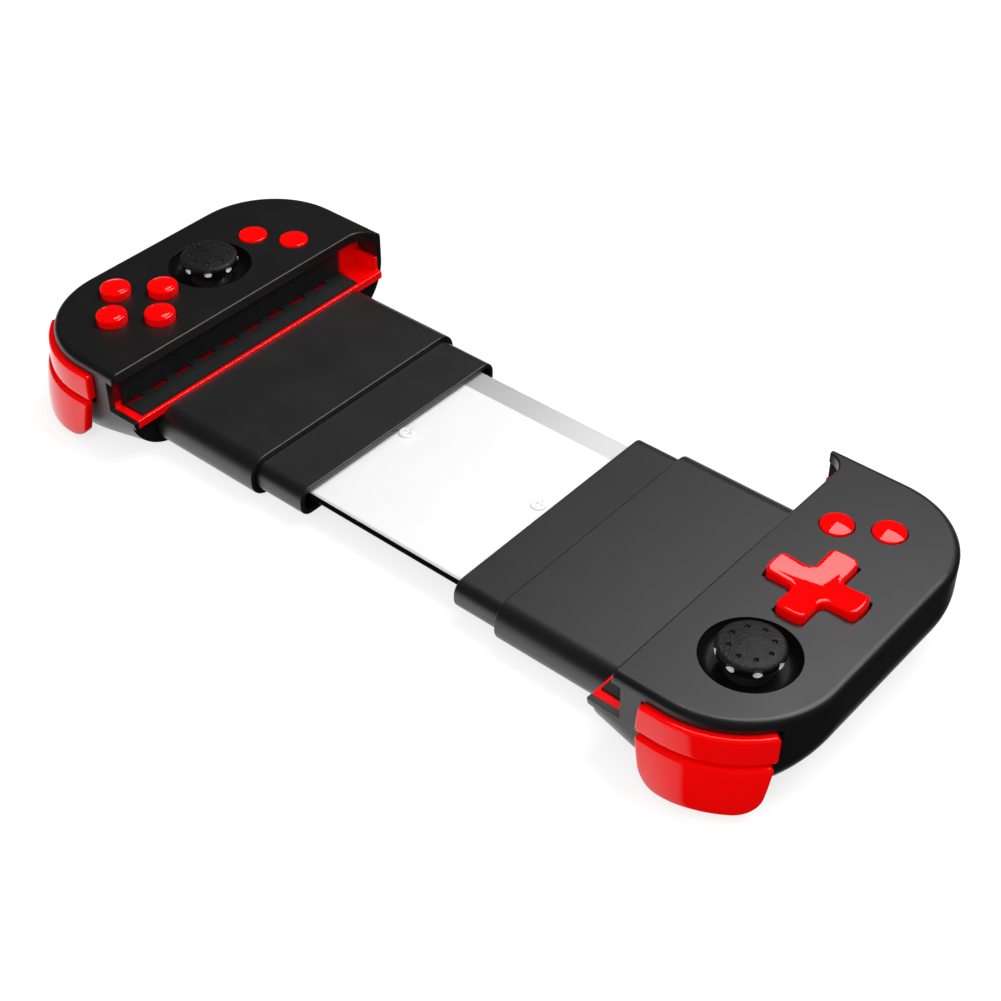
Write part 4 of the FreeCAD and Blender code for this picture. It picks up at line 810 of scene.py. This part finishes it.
def make_floor():
    """Pale floor that keeps the shadow, shows as white to the camera and lets reflections through."""
    mesh = bpy.data.meshes.new("floor")
    corners = [(a * FLOOR_HALF, b * FLOOR_HALF, 0.0) for a, b in ((-1, -1), (1, -1), (1, 1), (-1, 1))]
    mesh.from_pydata(corners, [], [(0, 1, 2, 3)])
    floor = bpy.data.objects.new("floor", mesh)
    bpy.context.collection.objects.link(floor)
    floor.location.z = -FLOOR_DROP
    material, tree, shader = new_material("floor")
    shader.inputs["Base Color"].default_value = (FLOOR_GREY, FLOOR_GREY, FLOOR_GREY, 1.0)
    shader.inputs["Roughness"].default_value = 0.9
    shader.inputs["Specular IOR Level"].default_value = 0.0
    path = tree.nodes.new("ShaderNodeLightPath")
    glow = tree.nodes.new("ShaderNodeEmission")
    shown = math_node(tree, "MULTIPLY", path.outputs["Is Camera Ray"], FLOOR_GLOW)
    tree.links.new(shown, glow.inputs["Strength"])
    both = tree.nodes.new("ShaderNodeAddShader")
    tree.links.new(shader.outputs[0], both.inputs[0])
    tree.links.new(glow.outputs[0], both.inputs[1])
    clear = tree.nodes.new("ShaderNodeBsdfTransparent")
    mix = tree.nodes.new("ShaderNodeMixShader")
    tree.links.new(path.outputs["Is Glossy Ray"], mix.inputs["Fac"])
    tree.links.new(both.outputs[0], mix.inputs[1])
    tree.links.new(clear.outputs[0], mix.inputs[2])
    tree.links.new(mix.outputs[0], tree.nodes["Material Output"].inputs["Surface"])
    mesh.materials.append(material)


def make_world():
    """White to the camera, even as a light, and in reflections bright only below and towards the right."""
    world = bpy.data.worlds.new("world")
    bpy.context.scene.world = world
    world.use_nodes = True
    tree = world.node_tree
    background = tree.nodes["Background"]
    background.inputs["Color"].default_value = (1.0, 1.0, 1.0, 1.0)
    x, _, z = split_axes(tree, "Generated")
    card = math_node(tree, "MULTIPLY", remap(tree, x, *BRIGHT_RIGHT), remap(tree, x, *BRIGHTER_RIGHT))
    card = math_node(tree, "MULTIPLY", remap(tree, z, *BRIGHT_BELOW), card)
    seen = math_node(tree, "ADD", card, DIM_REFLECTION)
    path = tree.nodes.new("ShaderNodeLightPath")
    mix = tree.nodes.new("ShaderNodeMix")
    mix.data_type = "FLOAT"
    tree.links.new(path.outputs["Is Glossy Ray"], mix.inputs["Factor"])
    mix.inputs["A"].default_value = ROOM_LIGHT
    tree.links.new(seen, mix.inputs["B"])
    total = tree.nodes.new("ShaderNodeMix")
    total.data_type = "FLOAT"
    tree.links.new(path.outputs["Is Camera Ray"], total.inputs["Factor"])
    tree.links.new(mix.outputs["Result"], total.inputs["A"])
    total.inputs["B"].default_value = 1.0
    tree.links.new(total.outputs["Result"], background.inputs["Strength"])


def direction(turn, rise):
    """Unit vector that lies this many degrees from +X towards -Y, and this many above the floor."""
    flat = math.cos(math.radians(rise))
    return Vector((flat * math.cos(math.radians(turn)), -flat * math.sin(math.radians(turn)),
                   math.sin(math.radians(rise))))


def make_lights():
    """Softbox that the glossy faces reflect, and a lamp that only lights."""
    corner = BOX_ANCHOR + BOX_DISTANCE * direction(BOX_LEFT, BOX_LOW)
    turn = math.radians(BOX_LEFT + BOX_TURN)
    right = Vector((-math.sin(turn), -math.cos(turn), 0.0))
    facing = direction(BOX_LEFT + BOX_TURN, BOX_LOW + BOX_RISE)
    up = (facing.cross(right)).normalized()
    if up.z < 0:
        up = -up
    place = corner + right * BOX_WIDTH / 2 + up * BOX_HEIGHT / 2
    lamp("back_softbox", place, place - facing, (BOX_WIDTH, BOX_HEIGHT), BOX_RADIANCE)
    fill = lamp("front_fill", FILL_PLACE, (0.0, 0.0, 0.0), FILL_SIZE, FILL_RADIANCE)
    fill.visible_glossy = False


materials = make_materials()
dress_nodes(materials)
make_pieces(materials)
make_floor()
make_world()
make_lights()
make_camera()
bpy.context.scene.view_settings.view_transform = "Standard"
